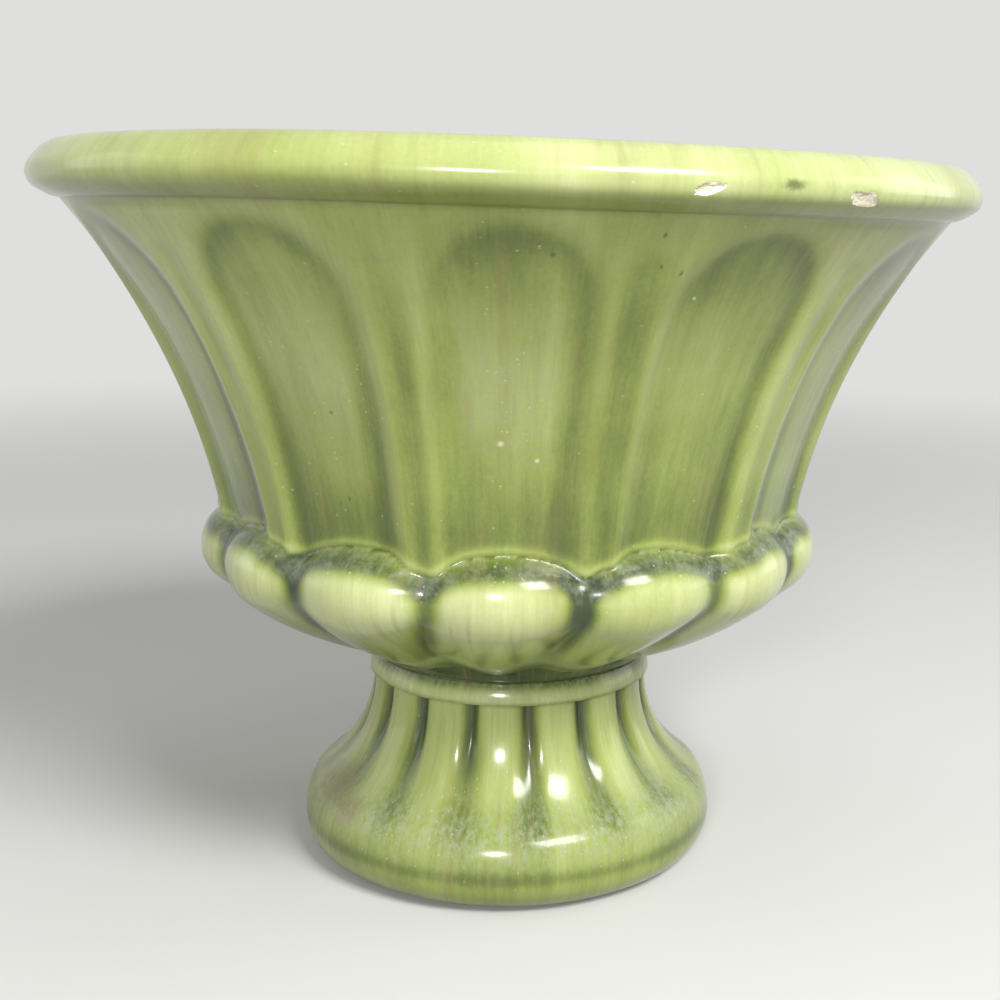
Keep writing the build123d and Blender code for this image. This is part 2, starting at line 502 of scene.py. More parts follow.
@dataclass(frozen=True)
class PedestalForm:
    """The pedestal: rolled foot, concave reeded stem and collar."""

    foot_radius: float = 47.3
    foot_roll: float = 9.8
    edge_roll: float = 7.2
    edge_lift: float = 0.4
    stem_radius: float = 31.4
    collar_z: float = 41.4
    collar_height: float = 4.4
    collar_low_radius: float = 32.3
    collar_radius: float = 31.9
    collar_top_radius: float = 30.8
    collar_points: int = 18
    dry_height: float = 1.2
    reed_count: int = 16
    reed_turn: float = 7.4
    reed_crown: float = 0.45
    groove_depth: float = 1.35
    groove_width: float = 1.5
    groove_spread: float = 1.3
    groove_height: Ease = Ease(14.5, 38.0)

    def foot_centre(self) -> Point:
        """Centre of the foot's roll."""
        return self.foot_radius - self.foot_roll, self.foot_roll

    def collar_top(self) -> float:
        """Height of the collar's top."""
        return self.collar_z + self.collar_height

    def stem_circle(self) -> tuple[Point, float, float]:
        """Finds the arc of the stem's flank.

        Returns:
            Its centre and radius, and the angle where it meets the foot's roll, in degrees.
        """
        centre = self.foot_centre()
        run, rise = self.stem_radius - centre[0], self.collar_z - centre[1]
        size = (run**2 + rise**2 - self.foot_roll**2) / (2 * (self.foot_roll - run))
        return (self.stem_radius + size, self.collar_z), size, math.degrees(math.atan2(rise, run + size))

    def roll(self, inset: float, spacing: float) -> Outline:
        """The foot from its dry edge round the small roll and up the flank to the stem.

        Args:
            inset: How far below the glazed surface the outline lies.
            spacing: About how far apart the points are.

        Returns:
            The points, from the bottom up.
        """
        bend = self.stem_circle()[2]
        centre = (self.foot_radius - self.edge_roll, self.edge_roll + self.edge_lift)
        dry = math.degrees(math.asin((self.dry_height - centre[1]) / (self.edge_roll - inset)))
        edge = arc(centre, self.edge_roll - inset, dry, 0, spacing)
        top, reach, turn = self.foot_centre(), self.foot_roll - inset, math.radians(bend)
        end = (top[0] + reach * math.cos(turn), top[1] + reach * math.sin(turn))
        return chain(edge, sweep(edge[-1], 90, end, 90 + bend, spacing))

    def collar(self) -> Outline:
        """The collar from its lower edge to its top.

        Returns:
            The points, from the bottom up.
        """
        low, top = self.collar_low_radius, self.collar_top_radius
        share = np.linspace(0, 1, self.collar_points)
        swell = 4 * (self.collar_radius - (low + top) / 2) * share * (1 - share)
        radii = low + (top - low) * share + swell
        return list(zip(radii.tolist(), (self.collar_z + self.collar_height * share).tolist()))

    def groove(self, theta: np.ndarray, radius: np.ndarray, z: np.ndarray) -> np.ndarray:
        """Shapes the grooves between the reeds.

        Args:
            theta: Angles round the urn.
            radius: Radii of the plain stem.
            z: Heights.

        Returns:
            How deep the groove is at each place, from 0 to 1.
        """
        away = radius * np.abs(wrap(theta - math.radians(self.reed_turn), TAU / self.reed_count))
        full = self.groove_height(z)
        return Hump(0, 1)(away / (self.groove_width * (1 + self.groove_spread * (1 - full)))) * full

    def across(self, theta: np.ndarray) -> np.ndarray:
        """Place across a reed: 0 on its middle line and 1 in the groove beside it."""
        pitch = TAU / self.reed_count
        return 1 - np.abs(wrap(theta - math.radians(self.reed_turn), pitch)) / (pitch / 2)

    def sink(self, theta: np.ndarray, radius: np.ndarray, z: np.ndarray) -> np.ndarray:
        """Depth of the reeds' relief below the turned stem."""
        crown = self.reed_crown * self.groove_height(z) * self.across(theta) ** 2
        return self.groove_depth * self.groove(theta, radius, z) + crown


@dataclass(frozen=True)
class Chip:
    """A flake broken off the lip: its place, size and tilt, and the seed of its rough edge."""

    angle: float
    height: float
    width: float
    tall: float
    depth: float
    tilt: float
    seed: int


class Wave(NamedTuple):
    """One wave of the wall's unevenness: size, count round the urn, turn in radians, length upwards."""

    size: float
    count: int
    turn: float
    length: float


@dataclass(frozen=True)
class Firing:
    """What the firing did to the cast form: the rim leans and the walls are slightly uneven."""

    sag: Point = (0.013, 0.015)
    sag_end: float = 97.0
    sag_height: Ease = Ease(100.0, 150.0)
    waves: tuple[Wave, ...] = (
        Wave(0.13, 2, 1.1, math.inf),
        Wave(0.09, 3, 0.4, 38.0),
        Wave(0.05, 7, 2.2, -21.0),
        Wave(0.04, 11, -0.7, 13.0),
    )

    def settle(self, points: np.ndarray) -> np.ndarray:
        """Lets the rim sink a little towards +X and rise between the middle and -X.

        Args:
            points: Positions, one row each.

        Returns:
            The settled positions.
        """
        settled, x = points.copy(), points[:, 0]
        sag = np.where(x > 0, self.sag[0] * x, self.sag[1] * x * (1 - (x / self.sag_end) ** 2))
        settled[:, 2] -= sag * self.sag_height(points[:, 2])
        return settled

    def wobble(self, theta: np.ndarray, z: np.ndarray) -> np.ndarray:
        """The unevenness of the wall at each angle and height."""
        return sum(w.size * np.sin(w.count * theta + w.turn + z / w.length) for w in self.waves)


FIRING = Firing()


# Mesh work


def select_only(*pieces: bpy.types.Object) -> None:
    """Leaves the named objects selected and the first of them active.

    Args:
        pieces: The objects to select.
    """
    bpy.ops.object.select_all(action="DESELECT")
    for piece in pieces:
        piece.select_set(True)
    bpy.context.view_layer.objects.active = pieces[0]


def spin_section(name: str, section: Outline, steps: int, on_axis: bool = False) -> bpy.types.Object:
    """Turns a closed section round the upright axis.

    Args:
        name: Name of the piece.
        section: Radii and heights round the section, in millimetres.
        steps: Number of steps in a full turn, a multiple of the sectors.
        on_axis: Whether the section starts and ends on the axis.

    Returns:
        The turned piece, closed, with the section's point numbers in its ring attribute.
    """
    bpy.ops.object.select_all(action="DESELECT")
    bpy.context.tool_settings.mesh_select_mode = (False, True, False)
    bpy.ops.mesh.primitive_circle_add(vertices=len(section), radius=1.0, fill_type="NOTHING")
    piece = bpy.context.object
    piece.name = piece.data.name = name
    ring = piece.data.attributes.new("ring", "INT", "POINT")
    for index, (radius, height) in enumerate(section):
        piece.data.vertices[index].co = (0.0, -radius * MM, height * MM)
        ring.data[index].value = index
    if on_axis:
        ends = {0, len(section) - 1}
        for edge in piece.data.edges:
            edge.select = set(edge.vertices) == ends
        for vertex in piece.data.vertices:
            vertex.select = vertex.index in ends
    bpy.ops.object.mode_set(mode="EDIT")
    if on_axis:
        bpy.ops.mesh.delete(type="EDGE")
    bpy.ops.mesh.select_all(action="SELECT")
    bpy.ops.mesh.spin(steps=steps // SECTORS, angle=TAU / SECTORS, center=(0, 0, 0), axis=(0, 0, 1))
    bpy.ops.mesh.select_all(action="SELECT")
    turn = TAU * (SECTORS - 1) / SECTORS
    bpy.ops.mesh.spin(steps=SECTORS - 1, dupli=True, angle=turn, center=(0, 0, 0), axis=(0, 0, 1))
    bpy.ops.mesh.select_all(action="SELECT")
    bpy.ops.mesh.remove_doubles(threshold=WELD_METRES)
    bpy.ops.mesh.normals_make_consistent(inside=False)
    bpy.ops.object.mode_set(mode="OBJECT")
    return piece


def positions(piece: bpy.types.Object) -> np.ndarray:
    """Reads the piece's vertex positions.

    Args:
        piece: The piece to read.

    Returns:
        The positions in millimetres, one row each.
    """
    flat = np.empty(len(piece.data.vertices) * 3)
    piece.data.vertices.foreach_get("co", flat)
    return flat.reshape(-1, 3) / MM


def place(piece: bpy.types.Object, points: np.ndarray) -> None:
    """Moves the piece's vertices to positions in millimetres."""
    piece.data.vertices.foreach_set("co", (points * MM).reshape(-1))
    piece.data.update()


def paint(piece: bpy.types.Object, name: str, values: np.ndarray) -> None:
    """Keeps a number or a vector for every vertex under a name.

    Args:
        piece: The piece to mark.
        name: Name of the attribute.
        values: One number or one row of three for every vertex.
    """
    kind, key = ("FLOAT_VECTOR", "vector") if values.ndim == 2 else ("FLOAT", "value")
    attribute = piece.data.attributes.get(name) or piece.data.attributes.new(name, kind, "POINT")
    attribute.data.foreach_set(key, values.astype(np.float32).reshape(-1))


def painted(piece: bpy.types.Object) -> dict[str, np.ndarray]:
    """Reads what the glaze's material reads from a piece.

    Args:
        piece: The piece to read.

    Returns:
        The values of every attribute that it has, by name.
    """
    count = len(piece.data.vertices)
    found: dict[str, np.ndarray] = {}
    for name, key, width in ((THIN_AND_PAINTED_LIGHT, "value", 1), (DULL, "value", 1), (DRAPE, "vector", 3)):
        if name in piece.data.attributes:
            values = np.empty(count * width, dtype=np.float32)
            piece.data.attributes[name].data.foreach_get(key, values)
            found[name] = values.reshape(-1, width) if width > 1 else values
    return found


def on_circle(theta: np.ndarray, radius: np.ndarray | float, z: np.ndarray) -> np.ndarray:
    """Points from their angles, radii and heights."""
    return np.stack([radius * np.sin(theta), -radius * np.cos(theta), z], axis=1)


def cut(piece: bpy.types.Object, cutter: bpy.types.Object) -> None:
    """Takes a cutter's shape out of a piece, which keeps its attributes.

    Args:
        piece: The piece that is cut.
        cutter: A closed shape, which stays.
    """
    before, kept = positions(piece), painted(piece)
    tree = kdtree.KDTree(len(before))
    for index, point in enumerate(before):
        tree.insert(point, index)
    tree.balance()
    select_only(piece)
    modifier = piece.modifiers.new("chip", "BOOLEAN")
    modifier.operation = "DIFFERENCE"
    modifier.solver = "EXACT"
    modifier.object = cutter
    modifier.material_mode = "TRANSFER"
    bpy.ops.object.modifier_apply(modifier=modifier.name)
    source = np.array([tree.find(point)[1] for point in positions(piece)])
    for name, values in kept.items():
        paint(piece, name, values[source])


class Skin:
    """A turned coat while its relief is worked; every array has one entry per vertex."""

    back_thin: float = -0.2
    wheel: float = 70.0

    def __init__(self, name: str, section: list[Station], steps: int, on_axis: bool = False) -> None:
        """Turns a section.

        Args:
            name: Name of the piece.
            section: The closed section, its outside first.
            steps: Number of steps in a full turn.
            on_axis: Whether the section starts and ends on the axis.
        """
        outline = np.array([(s.radius, s.height) for s in section])
        self.piece = spin_section(name, outline.tolist(), steps, on_axis)
        points = positions(self.piece)
        ring = np.empty(len(points), dtype=np.int32)
        self.piece.data.attributes["ring"].data.foreach_get("value", ring)
        tangent = np.roll(outline, -1, axis=0) - np.roll(outline, 1, axis=0)
        normal = np.stack([tangent[:, 1], -tangent[:, 0]], axis=1)
        lengths = np.linalg.norm(np.diff(outline, axis=0), axis=1)
        self.theta = np.arctan2(points[:, 0], -points[:, 1])
        self.zone = np.array([s.zone.value for s in section])[ring]
        self.radius = outline[ring, 0]
        self.z = outline[ring, 1]
        self.normal = (normal / np.linalg.norm(normal, axis=1, keepdims=True))[ring]
        self.along = np.concatenate([[0], np.cumsum(lengths)])[ring]
        # how thin the glaze is, with painted light and painted shade laid into the same numbers
        self.thin = np.full(len(points), self.back_thin)
        self.dull = np.zeros(len(points))

    def on(self, zone: Zone) -> np.ndarray:
        """Which vertices lie on a stretch."""
        return self.zone == zone.value

    def sink(self, on: np.ndarray, depth: np.ndarray) -> None:
        """Moves the vertices of a stretch in along their normals."""
        self.radius[on] -= depth * self.normal[on, 0]
        self.z[on] -= depth * self.normal[on, 1]

    def finish(self, fade: np.ndarray | float = 1.0, spread: np.ndarray | float = 1.0) -> bpy.types.Object:
        """Warps the coat as the firing did, and keeps what the glaze's material reads.

        Args:
            fade: How far the unevenness reaches, from 0 to 1.
            spread: How wide the streaks hang round the axis, from 0 to 1.

        Returns:
            The finished coat.
        """
        uneven = np.where(self.on(Zone.BACK), 0.0, FIRING.wobble(self.theta, self.z) * fade)
        place(self.piece, FIRING.settle(on_circle(self.theta, self.radius + uneven, self.z)))
        paint(self.piece, THIN_AND_PAINTED_LIGHT, self.thin)
        paint(self.piece, DULL, self.dull)
        paint(self.piece, DRAPE, on_circle(self.theta, self.wheel * spread, self.along))
        return self.piece


# Lie of the glaze, with painted light and shade laid into it


class Run(NamedTuple):
    """A broad run of thick glaze: its angle and height, half width and height, and depth."""

    angle: float
    height: float
    wide: float
    tall: float
    depth: float


@dataclass(frozen=True)
class WallGlaze:
    """How pale the wall is drawn: 1 where the glaze breaks thin on sharp crests and -1 where it pools, with
    painted light and painted shade laid into the same numbers.
    """

    wall: WallForm
    base: float = -0.1
    # By the distance inside a panel's outline
    rib: Ease = Ease(1.5, -1.5)
    # rib_edge: pale lines along the rib edges, partly thin glaze on the beads and partly a painted highlight
    rib_edge: Hump = Hump(-1.7, 1.6, 0.32)
    # arch: how far the painted shadow under the lip reaches into the top of each arch
    arch: Ease = Ease(-0.5, 2.0, 0.55)
    pool: Hump = Hump(2.2, 2.6)
    bloom_edge: Ease = Ease(0.0, 9.0)
    # By the height
    rib_head: Ease = Ease(128.0, 138.0, 0.12)
    low: Ease = Ease(140.0, 118.0)
    # arch_height, crease: where the painted shadow under the lip lies, partly glaze pooled in the crease
    arch_height: Ease = Ease(122.0, 140.0)
    crease: Ease = Ease(142.5, 146.0)
    # breast: the height band of painted light on the upper middle of the wall
    breast: Hump = Hump(126.0, 18.0)
    bloom_height: Hump = Hump(112.0, 14.0)
    foot: Ease = Ease(97.0, 84.0, 0.2)
    # By the height above the scallops
    hem: Hump = Hump(1.0, 0.8, 0.5)
    hem_crease: Hump = Hump(-0.2, 0.5, 0.4)
    # By the angle in radians, in the panel or round the urn, or by its sine
    # painted shade along the right-hand inner edge of every panel
    right_edge_shade: Ease = Ease(-0.06, 0.06, 0.28)
    # side: the band near 45 degrees either side of the front where painted sheen and painted shade are laid
    side: Hump = Hump(0.79, 0.3)
    # east_shade: deeper painted shadow under the lip towards +X
    east_shade: Ease = Ease(-0.2, 0.48, 0.25)
    # more of that painted light towards -X
    west_painted_light: Ease = Ease(-0.1, -0.48, 0.14)
    bloom_count: int = 3
    bloom_turn: float = 0.6
    # Shares
    rib_low: float = 0.14
    # shade: strength of the painted shadow under the lip
    shade: float = 0.3
    pool_depth: float = 0.1
    pool_head: float = 0.4
    groove_pool: float = 0.14
    # painted sheen on the side ribs, and painted shade at the side panel edges for -X and +X
    side_rib_sheen: float = 0.3
    side_edge_shade: Point = (0.3, 0.05)
    # strength of the painted light on the upper middle of the wall
    breast_painted_light: float = 0.16
    # how much the bloom pales the colour: a pale haze, partly painted light
    bloom_haze_and_painted_light: float = 0.4
    bloom_dull: float = 0.6
    bloom_share: Point = (0.55, 0.45)

    def bloom(self, theta: np.ndarray, z: np.ndarray) -> np.ndarray:
        """The pale bloom in the middle of the panels, stronger on some than on others: a dull haze in the
        glaze, and painted light where it pales the colour.
        """
        swing = np.cos(self.bloom_count * theta + self.bloom_turn)
        strength = self.bloom_share[0] + self.bloom_share[1] * swing
        return strength * self.bloom_height(z) * self.bloom_edge(self.wall.inside_panel(theta, z))

    def thin(self, theta: np.ndarray, z: np.ndarray, rise: np.ndarray) -> np.ndarray:
        """Finds how pale the wall is drawn at places, from the glaze and from painted light and shade.

        Args:
            theta: Angles round the urn.
            z: Heights.
            rise: Heights above the line of the scallops.

        Returns:
            One number for each place.
        """
        inside, east = self.wall.inside_panel(theta, z), np.sin(theta)
        rib, low, pool = self.rib(inside), self.low(z), self.pool(inside)
        right = self.right_edge_shade(wrap(theta, TAU / self.wall.panel_count))
        lip_shadow_and_pool = self.crease(z) + self.arch(inside) * self.arch_height(z)
        return (
            self.base
            # pale bloom in the panels' middles: a haze in the glaze, partly painted light
            + self.bloom_haze_and_painted_light * self.bloom(theta, z)
            + rib * (self.rib_head(z) - self.rib_low * low)
            # painted shadow under the lip and in the arch tops, deeper towards +X, partly glaze pooled in
            # the crease
            - (self.shade + self.east_shade(east)) * lip_shadow_and_pool
            # pale lines on the rib edges: thin glaze, partly a painted highlight
            + self.rib_edge(inside) * low
            # glaze pooled along the panel edges, with painted shade added along their right-hand sides
            - (self.pool_depth + right) * pool * (self.pool_head + (1 - self.pool_head) * low)
            - self.groove_pool * self.wall.groove(theta, z) * rib
            # painted sheen on the ribs and painted shade at the panel edges near 45 degrees either side of
            # the front, the shade mostly on -X
            + self.side(np.abs(theta)) * (self.side_rib_sheen * rib - np.where(theta < 0, *self.side_edge_shade) * pool)
            # painted light on the upper middle of the wall, stronger towards -X
            + (self.breast_painted_light + self.west_painted_light(east)) * self.breast(z)
            - self.foot(z)
            + self.hem(rise)
            - self.hem_crease(rise)
        )


@dataclass(frozen=True)
class LobeGlaze:
    """How pale the lobes are drawn: glaze pooled on their shoulders, in the valleys and in runs, with
    painted shade in the seat and under the belly and painted light towards the belt.
    """

    belt: BeltForm
    # seat: the seat under the toes is drawn darkest, as painted shadow in the gap above the collar
    seat: float = -1.05
    crown: float = 0.85
    shoulder: Ease = Ease(-6.0, -2.4)
    shoulder_pool: Hump = Hump(-2.2, 2.0, 0.8)
    shoulder_dull: Ease = Ease(-7.5, -2.0, 0.5)
    valley: Ease = Ease(0.68, 1.0, 1.5)
    valley_head: float = 0.6
    valley_foot: Ease = Ease(53.0, 61.0)
    # belly and the step above it: darker low on the belly and paler towards the belt, partly thin glaze on
    # the crowns, partly painted light above and painted shade below
    belly: float = -0.3
    belly_glaze_and_painted_light: Ease = Ease(52.0, 66.0, 1.15)
    # painted highlight along the toe's edge
    toe_edge_highlight: Hump = Hump(49.5, 0.35, 0.45)
    # underside: painted shade where the belly turns down and in
    underside: Ease = Ease(0.12, 0.0, 1.4)
    runs: tuple[Run, ...] = (
        Run(11.0, 70.0, 4.0, 9.0, 0.8),
        Run(20.0, 68.0, 8.0, 9.0, 0.4),
        Run(-40.0, 74.0, 3.0, 6.0, 0.6),
        Run(62.0, 71.0, 4.0, 7.0, 0.8),
        Run(118.0, 70.0, 3.5, 7.0, 0.7),
        Run(-130.0, 72.0, 4.0, 6.0, 0.8),
    )

    def thick(self, theta: np.ndarray, z: np.ndarray) -> np.ndarray:
        """Finds how thick the runs beside some of the valleys are.

        Args:
            theta: Angles round the urn.
            z: Heights.

        Returns:
            One number for each place, 0 away from the runs.
        """
        total = np.zeros_like(theta)
        for run in self.runs:
            away = wrap(theta - math.radians(run.angle), TAU) / math.radians(run.wide)
            total += run.depth * Hump(0, 1)(np.hypot(away, (z - run.height) / run.tall))
        return total

    def upper(self, theta: np.ndarray, z: np.ndarray, rise: np.ndarray) -> np.ndarray:
        """Finds how thin the glaze is on the upper half of the lobes.

        Args:
            theta: Angles round the urn.
            z: Heights.
            rise: Heights above the line of the scallops.

        Returns:
            One number for each place.
        """
        shoulder = self.shoulder(rise)
        valley = self.valley(self.belt.across(theta)) * (1 - self.valley_head * shoulder)
        return self.crown * (1 - shoulder) - self.shoulder_pool(rise) - valley - self.thick(theta, z)

    def lower(self, theta: np.ndarray, z: np.ndarray, outward: np.ndarray) -> np.ndarray:
        """Finds how pale the lower half of the lobes and the belly are drawn: the glaze, with painted shade
        underneath and painted light towards the belt.

        Args:
            theta: Angles round the urn.
            z: Heights.
            outward: How far the surface faces outwards, from -1 to 1.

        Returns:
            One number for each place.
        """
        valley = self.valley(self.belt.across(theta + self.belt.lobe_lean(z))) * self.valley_foot(z)
        # paler towards the belt: partly thin glaze, partly painted light, with painted shade lower down and
        # a painted highlight on the toe's edge
        light = self.belly + self.belly_glaze_and_painted_light(z) + self.toe_edge_highlight(z)
        # painted shade on surfaces that face down or in
        return light - valley - self.thick(theta, z) - self.underside(outward)


@dataclass(frozen=True)
class LipGlaze:
    """How pale the lip is drawn: thin glaze on its roll, painted light on its upper faces and towards +X,
    and painted shade on its underside and at two places on the -X half; angles are radians.
    """

    base: float = 0.08
    # face: the paler outer face of the lip, partly thin glaze on the roll and partly painted light
    face: float = 0.46
    # face_tilt, face_height: the lip's underside, facing down, is left darker as painted shade
    face_tilt: Ease = Ease(-0.95, -0.3)
    face_height: Ease = Ease(145.2, 147.0)
    # top: painted light on faces that turn upwards
    top: Ease = Ease(0.0, 0.8, 0.06)
    # swing, swing_turn: painted light, stronger towards +X
    swing: float = 0.12
    swing_turn: float = 0.9
    # painted shade on the -X half of the lip, low on its face and high on its top
    low_painted_shade: Hump = Hump(-0.36, 0.26, 0.55)
    low_height: Ease = Ease(151.0, 148.0)
    high_painted_shade: Hump = Hump(-0.5, 0.4, 0.36)
    high_height: Ease = Ease(148.5, 151.5)

    def thin(self, theta: np.ndarray, z: np.ndarray, tilt: np.ndarray) -> np.ndarray:
        """Finds how pale the lip is drawn, from its glaze and from painted light and shade.

        Args:
            theta: Angles round the urn.
            z: Heights.
            tilt: How far the surface faces upwards, from -1 to 1.

        Returns:
            One number for each place.
        """
        # painted shade and painted light on the lip's face, with its glaze thinning on the roll
        lip_painted_shade = self.low_painted_shade(theta) * self.low_height(z) + self.high_painted_shade(theta) * self.high_height(z)
        face_glaze_and_painted_light = self.face + self.swing * np.cos(theta - self.swing_turn) - lip_painted_shade
        return self.base + face_glaze_and_painted_light * self.face_tilt(tilt) * self.face_height(z) + self.top(tilt)


@dataclass(frozen=True)
class FootGlaze:
    """How thin the glaze lies on the pedestal: pooled in the grooves and at both ends of the stem."""

    form: PedestalForm
    base: float = 0.36
    groove_pool: float = 1.4
    groove_soft: float = 0.65
    smudge: Hump = Hump(18.0, 5.0, 0.4)
    smudge_base: float = 0.3
    smudge_groove: Ease = Ease(0.2, 0.9, 0.7)
    neck: Ease = Ease(40.6, 41.5, 0.9)
    flare: Hump = Hump(15.0, 6.0, 0.25)
    roll_line: Hump = Hump(8.6, 1.5, 0.4)
    edge: Ease = Ease(14.0, 9.0, 0.3)
    haze: Hump = Hump(16.5, 6.0)
    collar: float = 0.6
    collar_foot: Ease = Ease(0.2, 0.0, 0.8)
    collar_top: Ease = Ease(0.35, 1.0, 1.3)
    collar_dull: float = 0.6

    def stem_thin(self, theta: np.ndarray, radius: np.ndarray, z: np.ndarray) -> np.ndarray:
        """Finds how thin the glaze is on the stem and the foot.

        Args:
            theta: Angles round the urn.
            radius: Radii of the plain stem.
            z: Heights.

        Returns:
            One number for each place.
        """
        pool = self.groove_pool * self.form.groove(theta, radius, z) ** self.groove_soft
        smudge = self.smudge(z) * (self.smudge_base + self.smudge_groove(self.form.across(theta)))
        return self.base - pool - smudge - self.neck(z) - self.flare(z) - self.roll_line(z) - self.edge(z)

    def collar_thin(self, z: np.ndarray) -> np.ndarray:
        """How thin the glaze is at heights on the collar."""
        share = (z - self.form.collar_z) / self.form.collar_height
        return self.collar - self.collar_foot(share) - self.collar_top(share)


# Sub-assemblies


class UrnPiece:
    """A piece of the urn: its name, the CAD node that it stands for, its slot and how it is shaded."""

    name: str
    node: str
    slot: Slot = Slot.GLAZE
    sharp: float = 60.0

    def dress(self, piece: bpy.types.Object, material: bpy.types.Material) -> bpy.types.Object:
        """Gives the built piece its material."""
        piece.data.materials.append(material)
        return piece

    def finish(self, piece: bpy.types.Object) -> None:
        """Ties the dressed piece to the frame and shades it.

        Args:
            piece: The piece, with its material.
        """
        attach(piece, BODY)
        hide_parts(self.node)
        select_only(piece)
        bpy.ops.object.shade_smooth_by_angle(angle=math.radians(self.sharp))
        log.info("%s: %d vertices for %s", piece.name, len(piece.data.vertices), self.node)


class ClayPiece(UrnPiece):
    """A piece of bare clay, with sharper edges than the glaze has."""

    slot = Slot.CLAY
    sharp = 40.0


@dataclass
class BowlCoat(UrnPiece):
    """The fired glaze on the outside of the bowl, from the seat over the lip to the seam."""

    name = "bowl_coat"
    node = "bowl_glaze"
    wall: WallForm
    belt: BeltForm
    lip: LipForm
    steps: int = 576
    coat: float = 0.5
    wall_back: float = 3.0
    belt_back: float = 5.0
    joint_radius: float = 30.3
    seat_sink: float = 0.72
    seat_thick: float = 2.4
    seat_angles: Point = (20.0, 50.0)
    toe_start: float = -110.0
    crease_angle: float = -86.0
    crease_share: float = 0.45
    back_angle: float = 45.0
    back_steps: Triple = (1.6, 2.0, 6.0)
    toe_step: float = 0.3
    seat_step: float = 0.7
    belly_step: float = 1.5
    roll_step: float = 0.8
    lip_step: float = 0.95
    back_heights: Triple = (142.0, 82.0, 9)
    rows: tuple[Triple, ...] = ((72.75, 84.5, 0.55), (85.6, 125.5, 2.0), (126.5, 143.6, 0.9))
    scallop_top: float = 84.0
    scallop_step: float = 0.05

    def back(self) -> Outline:
        """The plain back of the coat.

        Returns:
            The points, from the seam on the lip down to the seat.
        """
        lip_step, roll_step, seat_step = self.back_steps
        lip = self.lip.outline(self.coat, self.crease_angle, lip_step)[::-1]
        heights = np.linspace(*self.back_heights)
        wall = list(zip(self.wall.radius(heights, self.wall_back).tolist(), heights.tolist()))
        reach, end = self.belt.roll - self.belt_back, self.belt.slope - 90
        roll = arc(self.belt.centre(), reach, self.back_angle, end, roll_step)
        seat = (self.joint_radius, self.belt.seat_z + self.seat_thick)
        return chain(lip, wall, roll, line(roll[-1], seat, seat_step))

    def section(self) -> list[Station]:
        """The closed section of the coat.

        Returns:
            The points, outside first and the back last.
        """
        belt = self.belt
        reach = belt.toe_round * math.tan(math.radians(belt.toe_slope) / 2)
        toe = (belt.toe_radius - reach, belt.toe_z + belt.toe_round)
        toe_arc = arc(toe, belt.toe_round, self.toe_start, belt.toe_slope - 90, self.toe_step)
        rise, fall = self.seat_angles
        start = (self.joint_radius, belt.seat_z - self.seat_sink)
        seat = sweep(start, rise, toe_arc[0], fall, self.seat_step)[:-1]
        roll = arc(belt.centre(), belt.roll, belt.bend_slope - 90, 0, self.roll_step)
        flank = sweep(toe_arc[-1], belt.toe_slope, roll[0], belt.bend_slope, self.belly_step)
        belly = chain(toe_arc, flank, roll)
        heights = np.concatenate([np.arange(*row) for row in self.rows])
        crown = belt.radius(np.radians([belt.lobe_turn]), heights)
        radii = soft_max(self.wall.radius(heights), crown, belt.crease_fill)
        wall = list(zip(radii.tolist(), heights.tolist()))
        lip = self.lip.outline(0.0, self.crease_angle, self.lip_step)
        gap = Vector(wall[-1]).lerp(Vector(lip[0]), self.crease_share)
        return (
            stations(seat, Zone.PLAIN)
            + stations(belly, Zone.BELLY)
            + stations(wall, Zone.WALL)
            + stations([(gap.x, gap.y)] + lip, Zone.LIP)
            + stations(self.back(), Zone.BACK)
        )

    def meeting(self, theta: np.ndarray) -> np.ndarray:
        """Finds the line of the scallops, where the lobes meet the wall.

        Args:
            theta: Angles round the urn.

        Returns:
            The height of the line at each angle.
        """
        heights = np.arange(self.belt.centre_z, self.scallop_top, self.scallop_step)[:, None]
        lobes = self.belt.radius(theta[None, :], heights)
        wall = self.wall.radius(heights, self.wall.sink(theta[None, :], heights))
        return heights[np.argmax(lobes < wall, axis=0), 0]

    def shape_belly(self, skin: Skin) -> None:
        """Works the lobes and their wavy toes into the seat and the belly.

        Args:
            skin: The turned coat.
        """
        belt, glaze = self.belt, LobeGlaze(self.belt)
        for zone in (Zone.PLAIN, Zone.BELLY):
            on = skin.on(zone)
            theta, z = skin.theta[on], skin.z[on]
            turn = theta + belt.lobe_lean(z)
            if zone is Zone.BELLY:
                grown = belt.lobe_growth(z)
                lift = belt.wave(turn) * (1 - grown)
                skin.thin[on] = glaze.lower(theta, z, skin.normal[on, 0])
                skin.sink(on, belt.dip(turn) * grown)
            else:
                lift = belt.wave(turn) * belt.wave_start(z)
                # painted shadow in the seat under the toes
                skin.thin[on] = glaze.seat
            skin.radius[on] -= belt.wave_draw * lift
            skin.z[on] += lift

    def shape_wall(self, skin: Skin) -> None:
        """Works the panels, the ribs and the upper half of the lobes into the wall.

        Args:
            skin: The turned coat.
        """
        belt, on = self.belt, skin.on(Zone.WALL)
        theta, z = skin.theta[on], skin.z[on]
        angles = np.linspace(-math.pi, math.pi, 2 * self.steps + 1)
        rise = z - np.interp(theta, angles, self.meeting(angles))
        wall = self.wall.radius(z, self.wall.sink(theta, z))
        joined = soft_max(wall, belt.radius(theta, z), belt.crease_fill)
        skin.radius[on] = joined + belt.hem(rise) - belt.hem_crease(rise)
        above, lobes = WallGlaze(self.wall), LobeGlaze(belt)
        bloom = above.bloom_dull * above.bloom(theta, z)
        skin.thin[on] = np.where(rise > 0, above.thin(theta, z, rise), lobes.upper(theta, z, rise))
        skin.dull[on] = np.where(rise > 0, bloom, lobes.shoulder_dull(rise))

